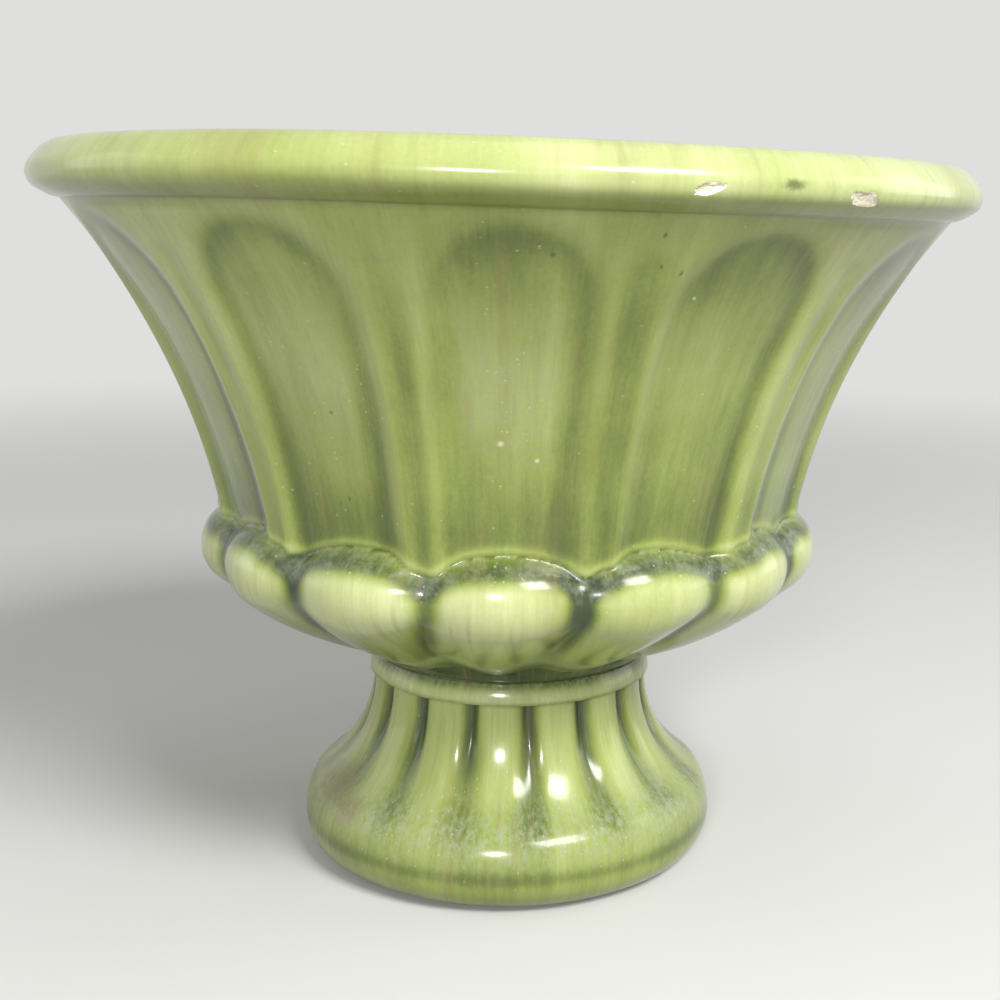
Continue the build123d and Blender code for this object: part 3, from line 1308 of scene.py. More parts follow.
    def build(self, material: bpy.types.Material) -> bpy.types.Object:
        """Turns the coat and works its relief.

        Args:
            material: Its material.

        Returns:
            The dressed coat.
        """
        skin = Skin(self.name, self.section(), self.steps)
        self.shape_belly(skin)
        self.shape_wall(skin)
        on = skin.on(Zone.LIP)
        skin.thin[on] = LipGlaze().thin(skin.theta[on], skin.z[on], skin.normal[on, 1])
        return self.dress(skin.finish(), material)


@dataclass
class BowlClay(ClayPiece):
    """The clay body of the bowl, under its coats, with the spigot below."""

    name = "bowl_clay"
    node = "bowl_casting"
    coat: BowlCoat
    inside: BowlInside
    steps: int = 252
    spigot_radius: float = 24.1
    spigot_z: float = 41.6
    spigot_edge: float = 0.6
    seat_gap: float = 0.1

    def build(self, material: bpy.types.Material) -> bpy.types.Object:
        """Turns the clay body.

        Args:
            material: Its material.

        Returns:
            The dressed body.
        """
        seat_z, radius, edge = self.coat.belt.seat_z, self.spigot_radius, self.spigot_edge
        spigot = [(0.0, self.spigot_z), (radius - edge, self.spigot_z), (radius, self.spigot_z + edge)]
        seat = [(radius, seat_z), (self.coat.joint_radius - self.seat_gap, seat_z)]
        inside = self.inside.outline(0.0, self.inside.clay_step)
        section = chain(spigot, seat, self.coat.back()[::-1], inside)
        piece = spin_section(self.name, section, self.steps, on_axis=True)
        place(piece, FIRING.settle(positions(piece)))
        return self.dress(piece, material)


@dataclass
class BowlLining(UrnPiece):
    """The glaze inside the bowl, pale on the crown of the lip and pooled on the floor."""

    name = "bowl_lining"
    node = "liner_glaze"
    inside: BowlInside
    steps: int = 420
    lining: float = 0.5
    face_step: float = 1.8
    base: float = 0.05
    crown: Ease = Ease(147.0, 153.5, 0.55)
    floor: Ease = Ease(72.0, 55.0, 0.5)
    uneven: Ease = Ease(4.0, 30.0)
    spread: Ease = Ease(0.0, 36.0)

    def build(self, material: bpy.types.Material) -> bpy.types.Object:
        """Turns the lining and marks where its glaze is thin or pooled.

        Args:
            material: Its material.

        Returns:
            The dressed lining.
        """
        face = self.inside.outline(self.lining, self.face_step)
        back = self.inside.outline(0.0, self.inside.clay_step)
        skin = Skin(self.name, stations(chain(face[::-1], back), Zone.PLAIN), self.steps, on_axis=True)
        skin.thin = self.base + self.crown(skin.z) - self.floor(skin.z)
        return self.dress(skin.finish(self.uneven(skin.radius), self.spread(skin.radius)), material)


@dataclass
class PedestalCoat(UrnPiece):
    """The fired glaze on the outside of the pedestal, wiped off above the foot ring."""

    name = "pedestal_coat"
    node = "pedestal_glaze"
    form: PedestalForm
    steps: int = 648
    coat: float = 0.5
    stem_back: float = 2.2
    flank_back: float = 0.8
    back_points: int = 12
    back_step: float = 2.0
    roll_step: float = 0.62
    stem_step: float = 0.52

    def back(self) -> Outline:
        """The plain back of the coat.

        Returns:
            The points, from the top of the collar down to the dry edge.
        """
        centre, size, bend = self.form.stem_circle()
        stem: Outline = []
        for share in np.linspace(0, 1, self.back_points).tolist():
            turn = math.radians(180 + bend * share)
            reach = size + self.stem_back + (self.flank_back - self.stem_back) * share
            stem.append((centre[0] + reach * math.cos(turn), centre[1] + reach * math.sin(turn)))
        neck = (self.form.stem_radius - self.stem_back, self.form.collar_top())
        return chain([neck], stem, self.form.roll(self.coat, self.back_step)[-2::-1])

    def section(self) -> list[Station]:
        """The closed section of the coat.

        Returns:
            The points, outside first and the back last.
        """
        centre, size, bend = self.form.stem_circle()
        flank = arc(centre, size, 180 + bend, 180, self.stem_step)
        stem = self.form.roll(0.0, self.roll_step) + flank[1:]
        collar = stations(self.form.collar(), Zone.PLAIN)
        return stations(stem, Zone.STEM) + collar + stations(self.back(), Zone.BACK)

    def build(self, material: bpy.types.Material) -> bpy.types.Object:
        """Turns the coat, works the reeds and marks where the glaze is thin or pooled.

        Args:
            material: Its material.

        Returns:
            The dressed coat.
        """
        skin, glaze = Skin(self.name, self.section(), self.steps), FootGlaze(self.form)
        on = skin.on(Zone.STEM)
        theta, radius, z = skin.theta[on], skin.radius[on], skin.z[on]
        skin.thin[on] = glaze.stem_thin(theta, radius, z)
        skin.dull[on] = glaze.haze(z)
        skin.sink(on, self.form.sink(theta, radius, z))
        on = skin.on(Zone.PLAIN)
        skin.thin[on] = glaze.collar_thin(skin.z[on])
        skin.dull[on] = glaze.collar_dull
        return self.dress(skin.finish(), material)


@dataclass
class PedestalClay(ClayPiece):
    """The clay body of the pedestal: dry foot ring, hollow and bore."""

    name = "pedestal_clay"
    node = "pedestal_casting"
    coat: PedestalCoat
    steps: int = 252
    ring_inner: float = 33.5
    ring_outer: float = 37.5
    ring_edge: float = 0.4
    dry_edge: Point = (39.5, 0.6)
    bore_radius: float = 24.5
    bore_z: float = 36.8
    hollow_bow: float = 2.0
    hollow_points: int = 18
    dry_step: float = 0.9

    def build(self, material: bpy.types.Material) -> bpy.types.Object:
        """Turns the clay body.

        Args:
            material: Its material.

        Returns:
            The dressed body.
        """
        outside, edge = self.coat.back(), self.ring_edge
        outer, inner, top = self.ring_outer, self.ring_inner, (self.bore_radius, self.coat.form.collar_top())
        dry_band = line(outside[-1], self.dry_edge, self.dry_step)
        ring = [(outer + edge, edge / 2), (outer, 0.0), (inner + edge, 0.0), (inner, edge)]
        bore = (self.bore_radius, self.bore_z)
        hollow = bowed((inner, 0.0), bore, -self.hollow_bow, self.hollow_points)[1:]
        section = chain(outside, dry_band, ring, hollow, [top])
        return self.dress(spin_section(self.name, section, self.steps), material)


@dataclass
class LipChips:
    """Flakes broken off the lip, cut through the glaze into the clay."""

    lip: LipForm
    chips: tuple[Chip, ...]
    stand: float = 0.55
    broad_rough: Point = (0.28, 1.7)
    fine_rough: Point = (0.12, 5.3)
    subdivisions: int = 5

    def lens(self, chip: Chip) -> bpy.types.Object:
        """Makes the rough lens that cuts one flake.

        Args:
            chip: The flake.

        Returns:
            The lens, in its place on the lip.
        """
        bpy.ops.object.select_all(action="DESELECT")
        bpy.ops.mesh.primitive_ico_sphere_add(subdivisions=self.subdivisions, radius=1.0)
        lens = bpy.context.object
        ring, rim_z = self.lip.rim_centre()
        turn, lift = math.radians(chip.angle), math.asin((chip.height - rim_z) / self.lip.roll)
        side = Vector((math.cos(turn), math.sin(turn), 0.0))
        ahead = Vector((math.sin(turn), -math.cos(turn), 0.0))
        out = ahead * math.cos(lift) + Vector((0.0, 0.0, math.sin(lift)))
        middle = ahead * ring + Vector((0.0, 0.0, rim_z)) + out * (self.lip.roll + self.stand)
        tilt = Matrix.Rotation(math.radians(chip.tilt), 3, "Z")
        turned = Matrix((side, out.cross(side), out)).transposed() @ tilt
        half = Vector((chip.width / 2, chip.tall / 2, chip.depth + self.stand))
        for vertex in lens.data.vertices:
            unit = vertex.co.copy()
            broad = self.broad_rough[0] * noise.noise(unit * self.broad_rough[1] + Vector((chip.seed, 0, 0)))
            fine = self.fine_rough[0] * noise.noise(unit * self.fine_rough[1] + Vector((0, chip.seed, 0)))
            vertex.co = (middle + turned @ (unit * half * (1 + broad + fine))) * MM
        place(lens, FIRING.settle(positions(lens)))
        return lens

    def cutter(self, material: bpy.types.Material) -> bpy.types.Object:
        """Makes a rough lens for each flake and joins them into one cutter.

        Args:
            material: What the flakes lay bare.

        Returns:
            The dressed cutter.
        """
        select_only(*[self.lens(chip) for chip in self.chips])
        bpy.ops.object.join()
        bpy.context.object.data.materials.append(material)
        return bpy.context.object


# Materials


class Wire:
    """A shader value that takes part in sums as a number does."""

    def __init__(self, kit: "ShaderKit", socket: bpy.types.NodeSocket) -> None:
        self.kit = kit
        self.socket = socket

    def _sum(self, operation: str, first: Any, second: Any) -> "Wire":
        """Adds a Math node."""
        return self.kit.node("ShaderNodeMath", {"operation": operation}, {0: first, 1: second})

    def __add__(self, other: Any) -> "Wire":
        """self + other"""
        return self._sum("ADD", self, other)

    def __radd__(self, other: Any) -> "Wire":
        """other + self"""
        return self._sum("ADD", other, self)

    def __sub__(self, other: Any) -> "Wire":
        """self - other"""
        return self._sum("SUBTRACT", self, other)

    def __rsub__(self, other: Any) -> "Wire":
        """other - self"""
        return self._sum("SUBTRACT", other, self)

    def __mul__(self, other: Any) -> "Wire":
        """self * other"""
        return self._sum("MULTIPLY", self, other)

    def __rmul__(self, other: Any) -> "Wire":
        """other * self"""
        return self._sum("MULTIPLY", other, self)

    def step(self, low: float, high: float) -> "Wire":
        """Eases the value from 0 at low to 1 at high; low may be the larger."""
        ends = {"Value": self, "From Min": low, "From Max": high, "To Min": 0.0, "To Max": 1.0}
        return self.kit.node("ShaderNodeMapRange", {"interpolation_type": "SMOOTHSTEP"}, ends)


class ShaderKit:
    """Builds the nodes of one material or world."""

    def __init__(self, owner: bpy.types.Material | bpy.types.World) -> None:
        """Starts with an empty node tree.

        Args:
            owner: The material or world that the nodes are for.
        """
        owner.use_nodes = True
        self.owner = owner
        self.tree = owner.node_tree
        self.tree.nodes.clear()

    def node(
        self, kind: str, settings: dict[str, Any], sockets: dict[str | int, Any], out: str | int = 0
    ) -> Wire:
        """Adds a node.

        Args:
            kind: The node's type.
            settings: Its properties, set first; stops holds a colour ramp's stops.
            sockets: Values or wires for its inputs, by name or number.
            out: The output that is wanted, by name or number.

        Returns:
            That output.
        """
        made = self.tree.nodes.new(kind)
        for key, value in settings.items():
            if key == "stops":
                ramp = made.color_ramp
                while len(ramp.elements) < len(value):
                    ramp.elements.new(1.0)
                for element, (position, colour) in zip(ramp.elements, value):
                    element.position = position
                    element.color = rgba(colour)
            else:
                setattr(made, key, value)
        for key, value in sockets.items():
            if isinstance(value, Wire):
                self.tree.links.new(value.socket, made.inputs[key])
            else:
                made.inputs[key].default_value = value
        return Wire(self, made.outputs[out])

    def spot(self) -> Wire:
        """The piece's own coordinates, in metres."""
        return self.node("ShaderNodeTexCoord", {}, {}, "Object")

    def attribute(self, name: str, out: str = "Fac") -> Wire:
        """What is kept on the piece's vertices under a name."""
        return self.node("ShaderNodeAttribute", {"attribute_name": name}, {}, out)

    def noise(self, vector: Wire, scale: float, detail: float = 3.0, roughness: float = 0.55) -> Wire:
        """Cloudy noise from 0 to 1."""
        sockets = {"Vector": vector, "Scale": scale, "Detail": detail, "Roughness": roughness}
        return self.node("ShaderNodeTexNoise", {"noise_dimensions": "3D"}, sockets, "Fac")

    def stretch(self, vector: Wire, scale: Triple, shift: Triple = (0.0, 0.0, 0.0)) -> Wire:
        """Coordinates scaled and shifted."""
        sockets = {"Vector": vector, "Scale": scale, "Location": shift}
        return self.node("ShaderNodeMapping", {"vector_type": "POINT"}, sockets)

    def cells(self, vector: Wire, channel: str) -> tuple[Wire, Wire]:
        """Scatters points, each with a lot drawn for it.

        Args:
            vector: Coordinates to scatter over.
            channel: Colour channel that gives the lot.

        Returns:
            The distance to the nearest point, and its lot from 0 to 1.
        """
        sockets = {"Vector": vector, "Scale": 1.0}
        away = self.node("ShaderNodeTexVoronoi", {"feature": "F1"}, sockets, "Distance")
        pick = self.node("ShaderNodeTexVoronoi", {"feature": "F1"}, sockets, "Color")
        return away, self.node("ShaderNodeSeparateColor", {}, {"Color": pick}, channel)

    def vector(self, operation: str, first: Any, second: Any = (0.0, 0.0, 0.0), out: str = "Vector") -> Wire:
        """Adds a Vector Math node."""
        return self.node("ShaderNodeVectorMath", {"operation": operation}, {0: first, 1: second}, out)

    def mix(self, share: Any, first: Any, second: Any) -> Wire:
        """Colour between two colours."""
        settings = {"data_type": "RGBA", "clamp_factor": True}
        return self.node("ShaderNodeMix", settings, {0: share, 6: first, 7: second}, 2)

    def bump(self, strength: float, distance: float, height: Wire) -> Wire:
        """Normals of a fine relief."""
        sockets = {"Strength": strength, "Distance": distance, "Height": height}
        return self.node("ShaderNodeBump", {}, sockets, "Normal")

    def shown(self) -> Wire:
        """Finds the rays that show the background: from the camera, mirrored or let through.

        Returns:
            1 or more for those rays, and 0 for the others.
        """
        rays = ("Is Camera Ray", "Is Glossy Ray", "Is Transmission Ray")
        camera, mirrored, through = [self.node("ShaderNodeLightPath", {}, {}, ray) for ray in rays]
        return camera + mirrored + through

    def output(self, shader: Wire) -> Any:
        """Ends the nodes with a shader.

        Args:
            shader: What the surface or the world shows.

        Returns:
            The material or world.
        """
        world = isinstance(self.owner, bpy.types.World)
        made = self.tree.nodes.new("ShaderNodeOutputWorld" if world else "ShaderNodeOutputMaterial")
        self.tree.links.new(shader.socket, made.inputs["Surface"])
        return self.owner


def rgba(colour: Triple) -> tuple[float, float, float, float]:
    """A colour with full cover."""
    return (*colour, 1.0)


@dataclass(frozen=True)
class Mark:
    """A small mark in the glaze: its place round, up and out, its half sizes and its soft edge."""

    angle: float
    height: float
    radius: float
    wide: float
    tall: float
    edge: Point = (1.1, 0.2)

    def cover(self, kit: ShaderKit, spot: Wire, rough: Wire) -> Wire:
        """Finds how strongly the mark covers a place.

        Args:
            spot: The place.
            rough: How far the mark's edge is moved there.

        Returns:
            The cover, from 0 to 1.
        """
        turn = math.radians(self.angle)
        middle = Vector((self.radius * math.sin(turn), -self.radius * math.cos(turn), self.height)) * MM
        sizes = [1 / (size * MM) for size in (self.wide, self.wide, self.tall)]
        off = kit.vector("MULTIPLY", kit.vector("SUBTRACT", spot, middle), sizes)
        return (kit.vector("LENGTH", off, out="Value") + rough).step(*self.edge)


@dataclass(frozen=True)
class Cloud:
    """A layer of noise on the hanging coordinates: its stretch, shift, fineness, weight and edge."""

    stretch: Triple
    shift: Triple = (0.0, 0.0, 0.0)
    detail: float = 3.0
    rough: float = 0.55
    weight: float = 1.0
    edge: Point = (0.0, 1.0)

    def build(self, kit: ShaderKit, hang: Wire) -> Wire:
        """The layer's noise, from 0 to 1."""
        return kit.noise(kit.stretch(hang, self.stretch, self.shift), 1.0, self.detail, self.rough)

    def patches(self, kit: ShaderKit, hang: Wire) -> Wire:
        """The noise as patches with an edge, from 0 to 1."""
        return self.build(kit, hang).step(*self.edge)


@dataclass(frozen=True)
class Scatter:
    """Small spots all over the glaze: how they are spread, their edge, their odds and their cover."""

    stretch: Triple
    channel: str
    edge: Point
    odds: Point
    cover: float

    def build(self, kit: ShaderKit, hang: Wire, luck: Any = 0.0) -> Wire:
        """The spots, from 0 to 1, more of them where luck is given."""
        away, lot = kit.cells(kit.stretch(hang, self.stretch), self.channel)
        return away.step(*self.edge) * (lot + luck).step(*self.odds)


@dataclass(frozen=True)
class GlazeFinish:
    """A glossy green glaze that breaks pale on crests and pools dark in creases.

    Its relief is the strength and the depth of the bump, in metres.
    """

    pooled: Triple = (0.042, 0.063, 0.024)
    deep: Triple = (0.15, 0.195, 0.036)
    body: Triple = (0.315, 0.378, 0.085)
    light: Triple = (0.46, 0.525, 0.178)
    crest: Triple = (0.66, 0.715, 0.35)
    brown: Triple = (0.33, 0.27, 0.11)
    speck: Triple = (0.06, 0.07, 0.02)
    scorch: Triple = (0.22, 0.185, 0.09)
    dust: Triple = (0.74, 0.78, 0.52)
    grey: Triple = (0.4, 0.44, 0.3)
    streaks: Cloud = Cloud((0.42, 0.42, 0.045), detail=5.0, rough=0.6, weight=0.42)
    bands: Cloud = Cloud((0.11, 0.11, 0.012), (7.0, 3.0, 1.0), 2.0, weight=0.6)
    clouds: Cloud = Cloud((0.06, 0.06, 0.05), (2.0, 5.0, 9.0), weight=0.6)
    brush: Cloud = Cloud((1.7, 1.7, 0.11), (3.0, 8.0, 2.0), rough=0.65, weight=0.26)
    grain: Cloud = Cloud((1.3, 1.3, 0.91), detail=4.0, rough=0.75, weight=0.36)
    tint: Cloud = Cloud((0.07, 0.07, 0.02), (11.0, 4.0, 6.0), weight=0.35, edge=(0.55, 0.8))
    lick: Cloud = Cloud((0.55, 0.55, 0.05), (5.0, 1.0, 8.0), 1.5, weight=0.34, edge=(0.52, 0.8))
    mist: Cloud = Cloud((0.55, 0.55, 0.55), detail=4.0, rough=0.7, weight=0.7, edge=(0.35, 0.7))
    swell: Cloud = Cloud((0.3, 0.3, 0.3), detail=2.0, weight=0.8)
    fine_specks: Scatter = Scatter((0.075, 0.075, 0.022), "Red", (0.034, 0.018), (0.55, 0.6), 0.8)
    fine_dust: Scatter = Scatter((0.8, 0.8, 0.8), "Green", (0.26, 0.06), (0.95, 0.98), 0.45)
    dull_luck: float = 0.3
    mark_edge: float = 0.9
    scorch_cover: Point = (0.45, 0.5)
    speck_cover: float = 0.7
    pinhole_cover: float = 0.8
    streak_relief: float = 0.4
    dust_relief: float = 0.3
    relief: Point = (0.35, 0.0002)
    roughness: float = 0.3
    grain_rough: float = 0.06
    dull_rough: float = 0.15
    ior: float = 1.5
    specular: float = 0.15
    coat: float = 0.8
    dull_coat: float = 0.5
    coat_rough: float = 0.16
    stops: tuple[float, ...] = (0.0, 0.28, 0.5, 0.72, 1.0)
    specks: tuple[Mark, ...] = ()
    pinholes: tuple[Mark, ...] = ()
    scorches: tuple[Mark, ...] = ()

    def build(self, name: str) -> bpy.types.Material:
        """Makes the material, which reads the piece's thin, dull and drape attributes.

        Args:
            name: Name of the material.

        Returns:
            The material.
        """
        kit = ShaderKit(bpy.data.materials.new(name))
        dull, hang = kit.attribute(DULL), kit.attribute(DRAPE, "Vector")
        streaks, grain = self.streaks.build(kit, hang), self.grain.build(kit, hang)
        # the thin attribute holds the glaze's thickness together with painted light and painted shade
        depth = kit.attribute(THIN_AND_PAINTED_LIGHT) + (streaks - 0.5) * self.streaks.weight
        for layer in (self.bands, self.clouds, self.brush):
            depth = depth + (layer.build(kit, hang) - 0.5) * layer.weight
        depth = depth + (grain - 0.5) * self.grain.weight
        tones = (self.pooled, self.deep, self.body, self.light, self.crest)
        stops = list(zip(self.stops, tones))
        colour = kit.node("ShaderNodeValToRGB", {"stops": stops}, {"Fac": depth * 0.5 + 0.5}, "Color")

        tint = self.tint.patches(kit, hang) * self.tint.weight
        lick = self.lick.patches(kit, hang) * self.lick.weight
        colour = kit.mix(tint + lick, colour, rgba(self.brown))
        mist = self.mist.patches(kit, hang)
        haze = dull * mist
        colour = kit.mix(haze * self.mist.weight, colour, rgba(self.grey))
        specks = self.fine_specks.build(kit, hang)
        colour = kit.mix(specks * self.fine_specks.cover, colour, rgba(self.speck))
        dust = self.fine_dust.build(kit, hang, dull * self.dull_luck)
        colour = kit.mix(dust * self.fine_dust.cover, colour, rgba(self.dust))

        spot, rough = kit.spot(), (grain - 0.5) * self.mark_edge
        for marks, tone, cover in (
            (self.scorches, self.scorch, mist * self.scorch_cover[0] + self.scorch_cover[1]),
            (self.specks, self.speck, self.speck_cover),
            (self.pinholes, self.dust, self.pinhole_cover),
        ):
            for mark in marks:
                colour = kit.mix(mark.cover(kit, spot, rough) * cover, colour, rgba(tone))
        swell = self.swell.build(kit, hang) * self.swell.weight
        relief = streaks * self.streak_relief + swell - dust * self.dust_relief
        looks = {
            "Base Color": colour,
            "Roughness": haze * self.dull_rough + grain * self.grain_rough + self.roughness,
            "IOR": self.ior,
            "Specular IOR Level": self.specular,
            "Coat Weight": self.coat - haze * self.dull_coat,
            "Coat Roughness": self.coat_rough,
            "Normal": kit.bump(*self.relief, relief),
        }
        return kit.output(kit.node("ShaderNodeBsdfPrincipled", {}, looks))


@dataclass(frozen=True)
class ClayFinish:
    """Dry fired clay, pale buff with clouds, a fine grain and grit.

    A noise is its scale per metre, its detail and its roughness. The relief is as in the glaze.
    """

    clay: Triple = (0.92, 0.87, 0.68)
    shade: Triple = (0.86, 0.79, 0.6)
    grit: Triple = (0.5, 0.38, 0.26)
    cloud_noise: Triple = (90.0, 4.0, 0.55)
    cloud_edge: Point = (0.35, 0.7)
    cloud_relief: float = 0.5
    grain_noise: Triple = (1400.0, 3.0, 0.7)
    grain_rough: float = 0.15
    grit_noise: Triple = (700.0, 1.0, 0.55)
    grit_edge: Point = (0.68, 0.74)
    grit_cover: float = 0.6
    relief: Point = (0.6, 0.0004)
    roughness: float = 0.78
    ior: float = 1.45

    def build(self, name: str) -> bpy.types.Material:
        """Makes the material, on the piece's own coordinates.

        Args:
            name: Name of the material.

        Returns:
            The material.
        """
        kit = ShaderKit(bpy.data.materials.new(name))
        spot = kit.spot()
        clouds = kit.noise(spot, *self.cloud_noise)
        grain = kit.noise(spot, *self.grain_noise)
        grit = kit.noise(spot, *self.grit_noise).step(*self.grit_edge) * self.grit_cover
        colour = kit.mix(clouds.step(*self.cloud_edge), rgba(self.shade), rgba(self.clay))
        looks = {
            "Base Color": kit.mix(grit, colour, rgba(self.grit)),
            "Roughness": grain * self.grain_rough + self.roughness,
            "IOR": self.ior,
            "Normal": kit.bump(*self.relief, grain + clouds * self.cloud_relief),
        }
        return kit.output(kit.node("ShaderNodeBsdfPrincipled", {}, looks))


# Studio


@dataclass(frozen=True)
class SoftLight:
    """A rectangular lamp, in metres and watts: where it stands, its size, power and target."""

    name: str
    place: Triple
    size: Point
    power: float
    target: Triple = (0.0, 0.0, 0.1)

    def build(self) -> None:
        """Adds the lamp, turned to its target."""
        lamp = bpy.data.lights.new(self.name, "AREA")
        lamp.shape = "RECTANGLE"
        lamp.size, lamp.size_y = self.size
        lamp.energy = self.power
        holder = bpy.data.objects.new(self.name, lamp)
        bpy.context.scene.collection.objects.link(holder)
        holder.location = self.place
        aim = Vector(self.target) - Vector(self.place)
        holder.rotation_euler = aim.to_track_quat("-Z", "Y").to_euler()


@dataclass(frozen=True)
class PhotoCamera:
    """The camera of the photograph, on a picture 1000 pixels wide; its turns are in radians."""

    focal_pixels: float = 1472.1
    picture: float = 1000.0
    middle: Point = (610.0, 506.0)
    distance: float = 330.56
    height: float = 144.79
    pitch: float = 0.19786
    roll: float = -0.021662
    yaw: float = 0.068176
    sensor: float = 36.0
    nearest: float = 10.0

    def build(self) -> None:
        """Adds the camera and makes it the scene's own."""
        data = bpy.data.cameras.new("photo_camera")
        data.sensor_width = self.sensor
        data.lens = self.sensor * self.focal_pixels / self.picture
        data.shift_x = (self.picture / 2 - self.middle[0]) / self.picture
        data.shift_y = (self.middle[1] - self.picture / 2) / self.picture
        data.clip_start = self.nearest * MM
        data.dof.use_dof = False
        stand = Matrix.Translation((0.0, -self.distance * MM, self.height * MM))
        for turn, axis in ((-self.yaw, "Z"), (math.pi / 2 - self.pitch, "X"), (-self.roll, "Z")):
            stand = stand @ Matrix.Rotation(turn, 4, axis)
        holder = bpy.data.objects.new("photo_camera", data)
        bpy.context.scene.collection.objects.link(holder)
        holder.matrix_world = stand
        bpy.context.scene.camera = holder


@dataclass(frozen=True)
class Studio:
    """Pale floor, soft light and the photograph's camera; the floor's sizes are in metres."""

    floor_size: float = 8.0
    floor_colour: Triple = (0.74, 0.737, 0.725)
    floor_shade: Triple = (0.2, 0.2, 0.195)
    floor_clouds: float = 6.0
    floor_rough: float = 0.85
    cloud_shade: float = 0.97
    floor_fade: Point = (0.3, 1.0)
    ambient: float = 0.42
    backdrop: Triple = (0.74, 0.74, 0.73)
    lights: tuple[SoftLight, ...] = (
        SoftLight("key", (0.52, -0.78, 0.92), (0.5, 0.36), 13.6),
        SoftLight("top", (0.1, 0.0, 1.3), (0.5, 0.5), 0.7),
        SoftLight("front", (-0.1, -0.62, 0.26), (0.1, 0.06), 1.8),
        SoftLight("left_card", (-0.85, 0.1, 0.35), (0.5, 0.6), 0.8),
        SoftLight("right_card", (0.8, 0.15, 0.35), (0.5, 0.6), 1.5),
    )
    camera: PhotoCamera = PhotoCamera()

    def floor_material(self) -> bpy.types.Material:
        """Makes a pale, faintly clouded floor that gives the object little light back.

        Returns:
            The material, which turns into the backdrop away from the object.
        """
        kit = ShaderKit(bpy.data.materials.new("floor_pale"))
        spot, shown = kit.spot(), kit.shown()
        shaded = rgba(tuple(self.cloud_shade * c for c in self.floor_colour))
        pale = kit.mix(kit.noise(spot, self.floor_clouds), rgba(self.floor_colour), shaded)
        colour = kit.mix(shown, rgba(self.floor_shade), pale)
        matt = {"Base Color": colour, "Roughness": self.floor_rough, "Specular IOR Level": 0.0}
        near = kit.node("ShaderNodeBsdfPrincipled", {}, matt)
        far = kit.node("ShaderNodeEmission", {}, {"Color": rgba(self.backdrop), "Strength": 1.0})
        away = kit.vector("LENGTH", spot, out="Value").step(*self.floor_fade)
        return kit.output(kit.node("ShaderNodeMixShader", {}, {0: away * shown, 1: near, 2: far}))

    def world(self) -> bpy.types.World:
        """Makes the world: the backdrop where it is seen, and a dimmer light on the object.

        Returns:
            The world.
        """
        kit = ShaderKit(bpy.data.worlds.new("studio"))
        settings = {"data_type": "FLOAT", "clamp_factor": True}
        level = kit.node("ShaderNodeMix", settings, {0: kit.shown(), 2: self.ambient, 3: 1.0})
        sockets = {"Color": rgba(self.backdrop), "Strength": level}
        return kit.output(kit.node("ShaderNodeBackground", {}, sockets))

    def build(self) -> None:
        """Adds floor, lights, world and camera."""
        bpy.ops.object.select_all(action="DESELECT")
        bpy.ops.mesh.primitive_plane_add(size=self.floor_size, location=(0.0, 0.0, 0.0))
        floor = bpy.context.object
        floor.name = "floor"
        floor.data.materials.append(self.floor_material())
        for light in self.lights:
            light.build()
        bpy.context.scene.world = self.world()
        bpy.context.scene.view_settings.view_transform = "Standard"
        self.camera.build()
        log.info("studio: %d lamps", len(self.lights))


# The urn


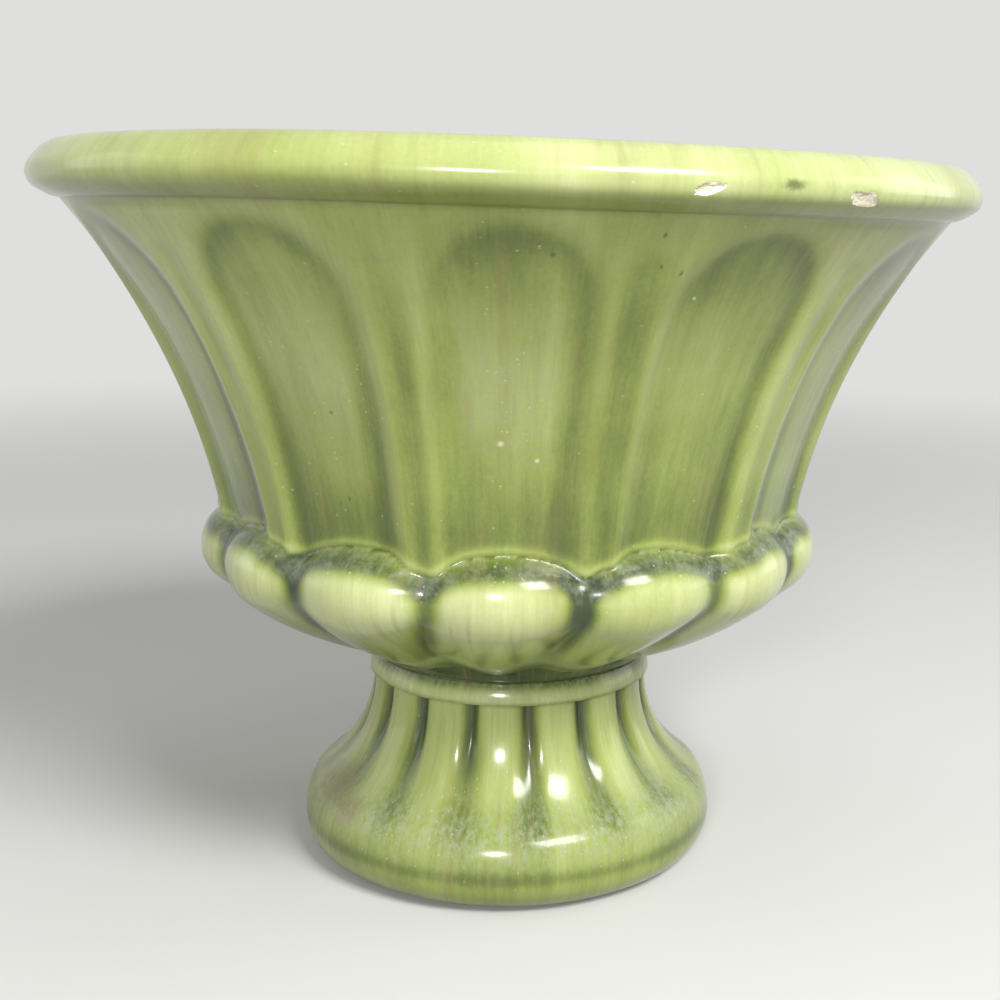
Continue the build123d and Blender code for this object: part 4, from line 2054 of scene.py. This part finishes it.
@dataclass(frozen=True)
class Wear:
    """The single marks and flakes that stand out on the urn.

    Marks on the wall have an angle, a height and two half sizes, the others a radius as well.
    """

    wall_specks: tuple[tuple[float, float, float, float], ...] = (
        (-27.8, 107.9, 0.5, 0.8),
        (-27.8, 90.9, 0.4, 0.7),
        (4.2, 137.6, 0.65, 0.65),
        (15.7, 141.4, 0.5, 1.8),
        (16.4, 136.1, 0.45, 1.7),
        (18.9, 135.0, 0.45, 1.8),
    )
    lip_specks: tuple[Mark, ...] = (Mark(27.0, 149.6, 100.0, 3.0, 1.2),)
    pinholes: tuple[tuple[float, float, float, float], ...] = (
        (-1.7, 103.4, 0.75, 0.75),
        (3.9, 100.2, 0.6, 0.6),
        (22.2, 130.4, 0.5, 0.5),
    )
    scorches: tuple[Mark, ...] = (Mark(-66.0, 18.5, 42.0, 10.0, 6.5), Mark(-52.0, 16.0, 43.5, 7.0, 3.5))
    chips: tuple[Chip, ...] = (
        Chip(angle=17.8, height=148.9, width=6.8, tall=2.5, depth=0.42, tilt=14.0, seed=3),
        Chip(angle=36.3, height=148.2, width=9.2, tall=6.2, depth=0.5, tilt=-6.0, seed=11),
    )

    def glaze(self, wall: WallForm) -> GlazeFinish:
        """Makes the glaze with its marks.

        Args:
            wall: The wall that the marks lie on.

        Returns:
            The finish.
        """
        specks, pinholes = [
            tuple(Mark(angle, z, wall.skin(angle, z), wide, tall) for angle, z, wide, tall in marks)
            for marks in (self.wall_specks, self.pinholes)
        ]
        return GlazeFinish(specks=specks + self.lip_specks, pinholes=pinholes, scorches=self.scorches)


def main() -> None:
    """Builds the urn's pieces in order, dresses them and sets up the studio."""
    logging.basicConfig(level=logging.INFO, format="%(name)s %(message)s")
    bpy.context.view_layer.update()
    wall, lip, wear = WallForm(), LipForm(), Wear()
    inside = BowlInside(wall, lip)
    glaze = wear.glaze(wall).build("green_glaze")
    clay = ClayFinish().build("bare_clay")
    slip = ClayFinish(clay=(0.68, 0.6, 0.5)).build("joint_slip")

    bowl_coat = BowlCoat(wall, BeltForm(), lip)
    bowl_clay = BowlClay(bowl_coat, inside)
    coat, body = bowl_coat.build(glaze), bowl_clay.build(clay)
    cutter = LipChips(lip, wear.chips).cutter(clay)
    cut(coat, cutter)
    cut(body, cutter)
    bpy.data.objects.remove(cutter)
    bowl_coat.finish(coat)
    bowl_clay.finish(body)

    pedestal_coat = PedestalCoat(PedestalForm())
    for part, material in (
        (BowlLining(inside), glaze),
        (pedestal_coat, glaze),
        (PedestalClay(pedestal_coat), clay),
    ):
        part.finish(part.build(material))

    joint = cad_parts["joint_slip"]
    joint.data.materials.clear()
    joint.data.materials.append(slip)
    log.info("joint_slip: kept as packed")

    Studio().build()


if __name__ == "__main__":
    main()
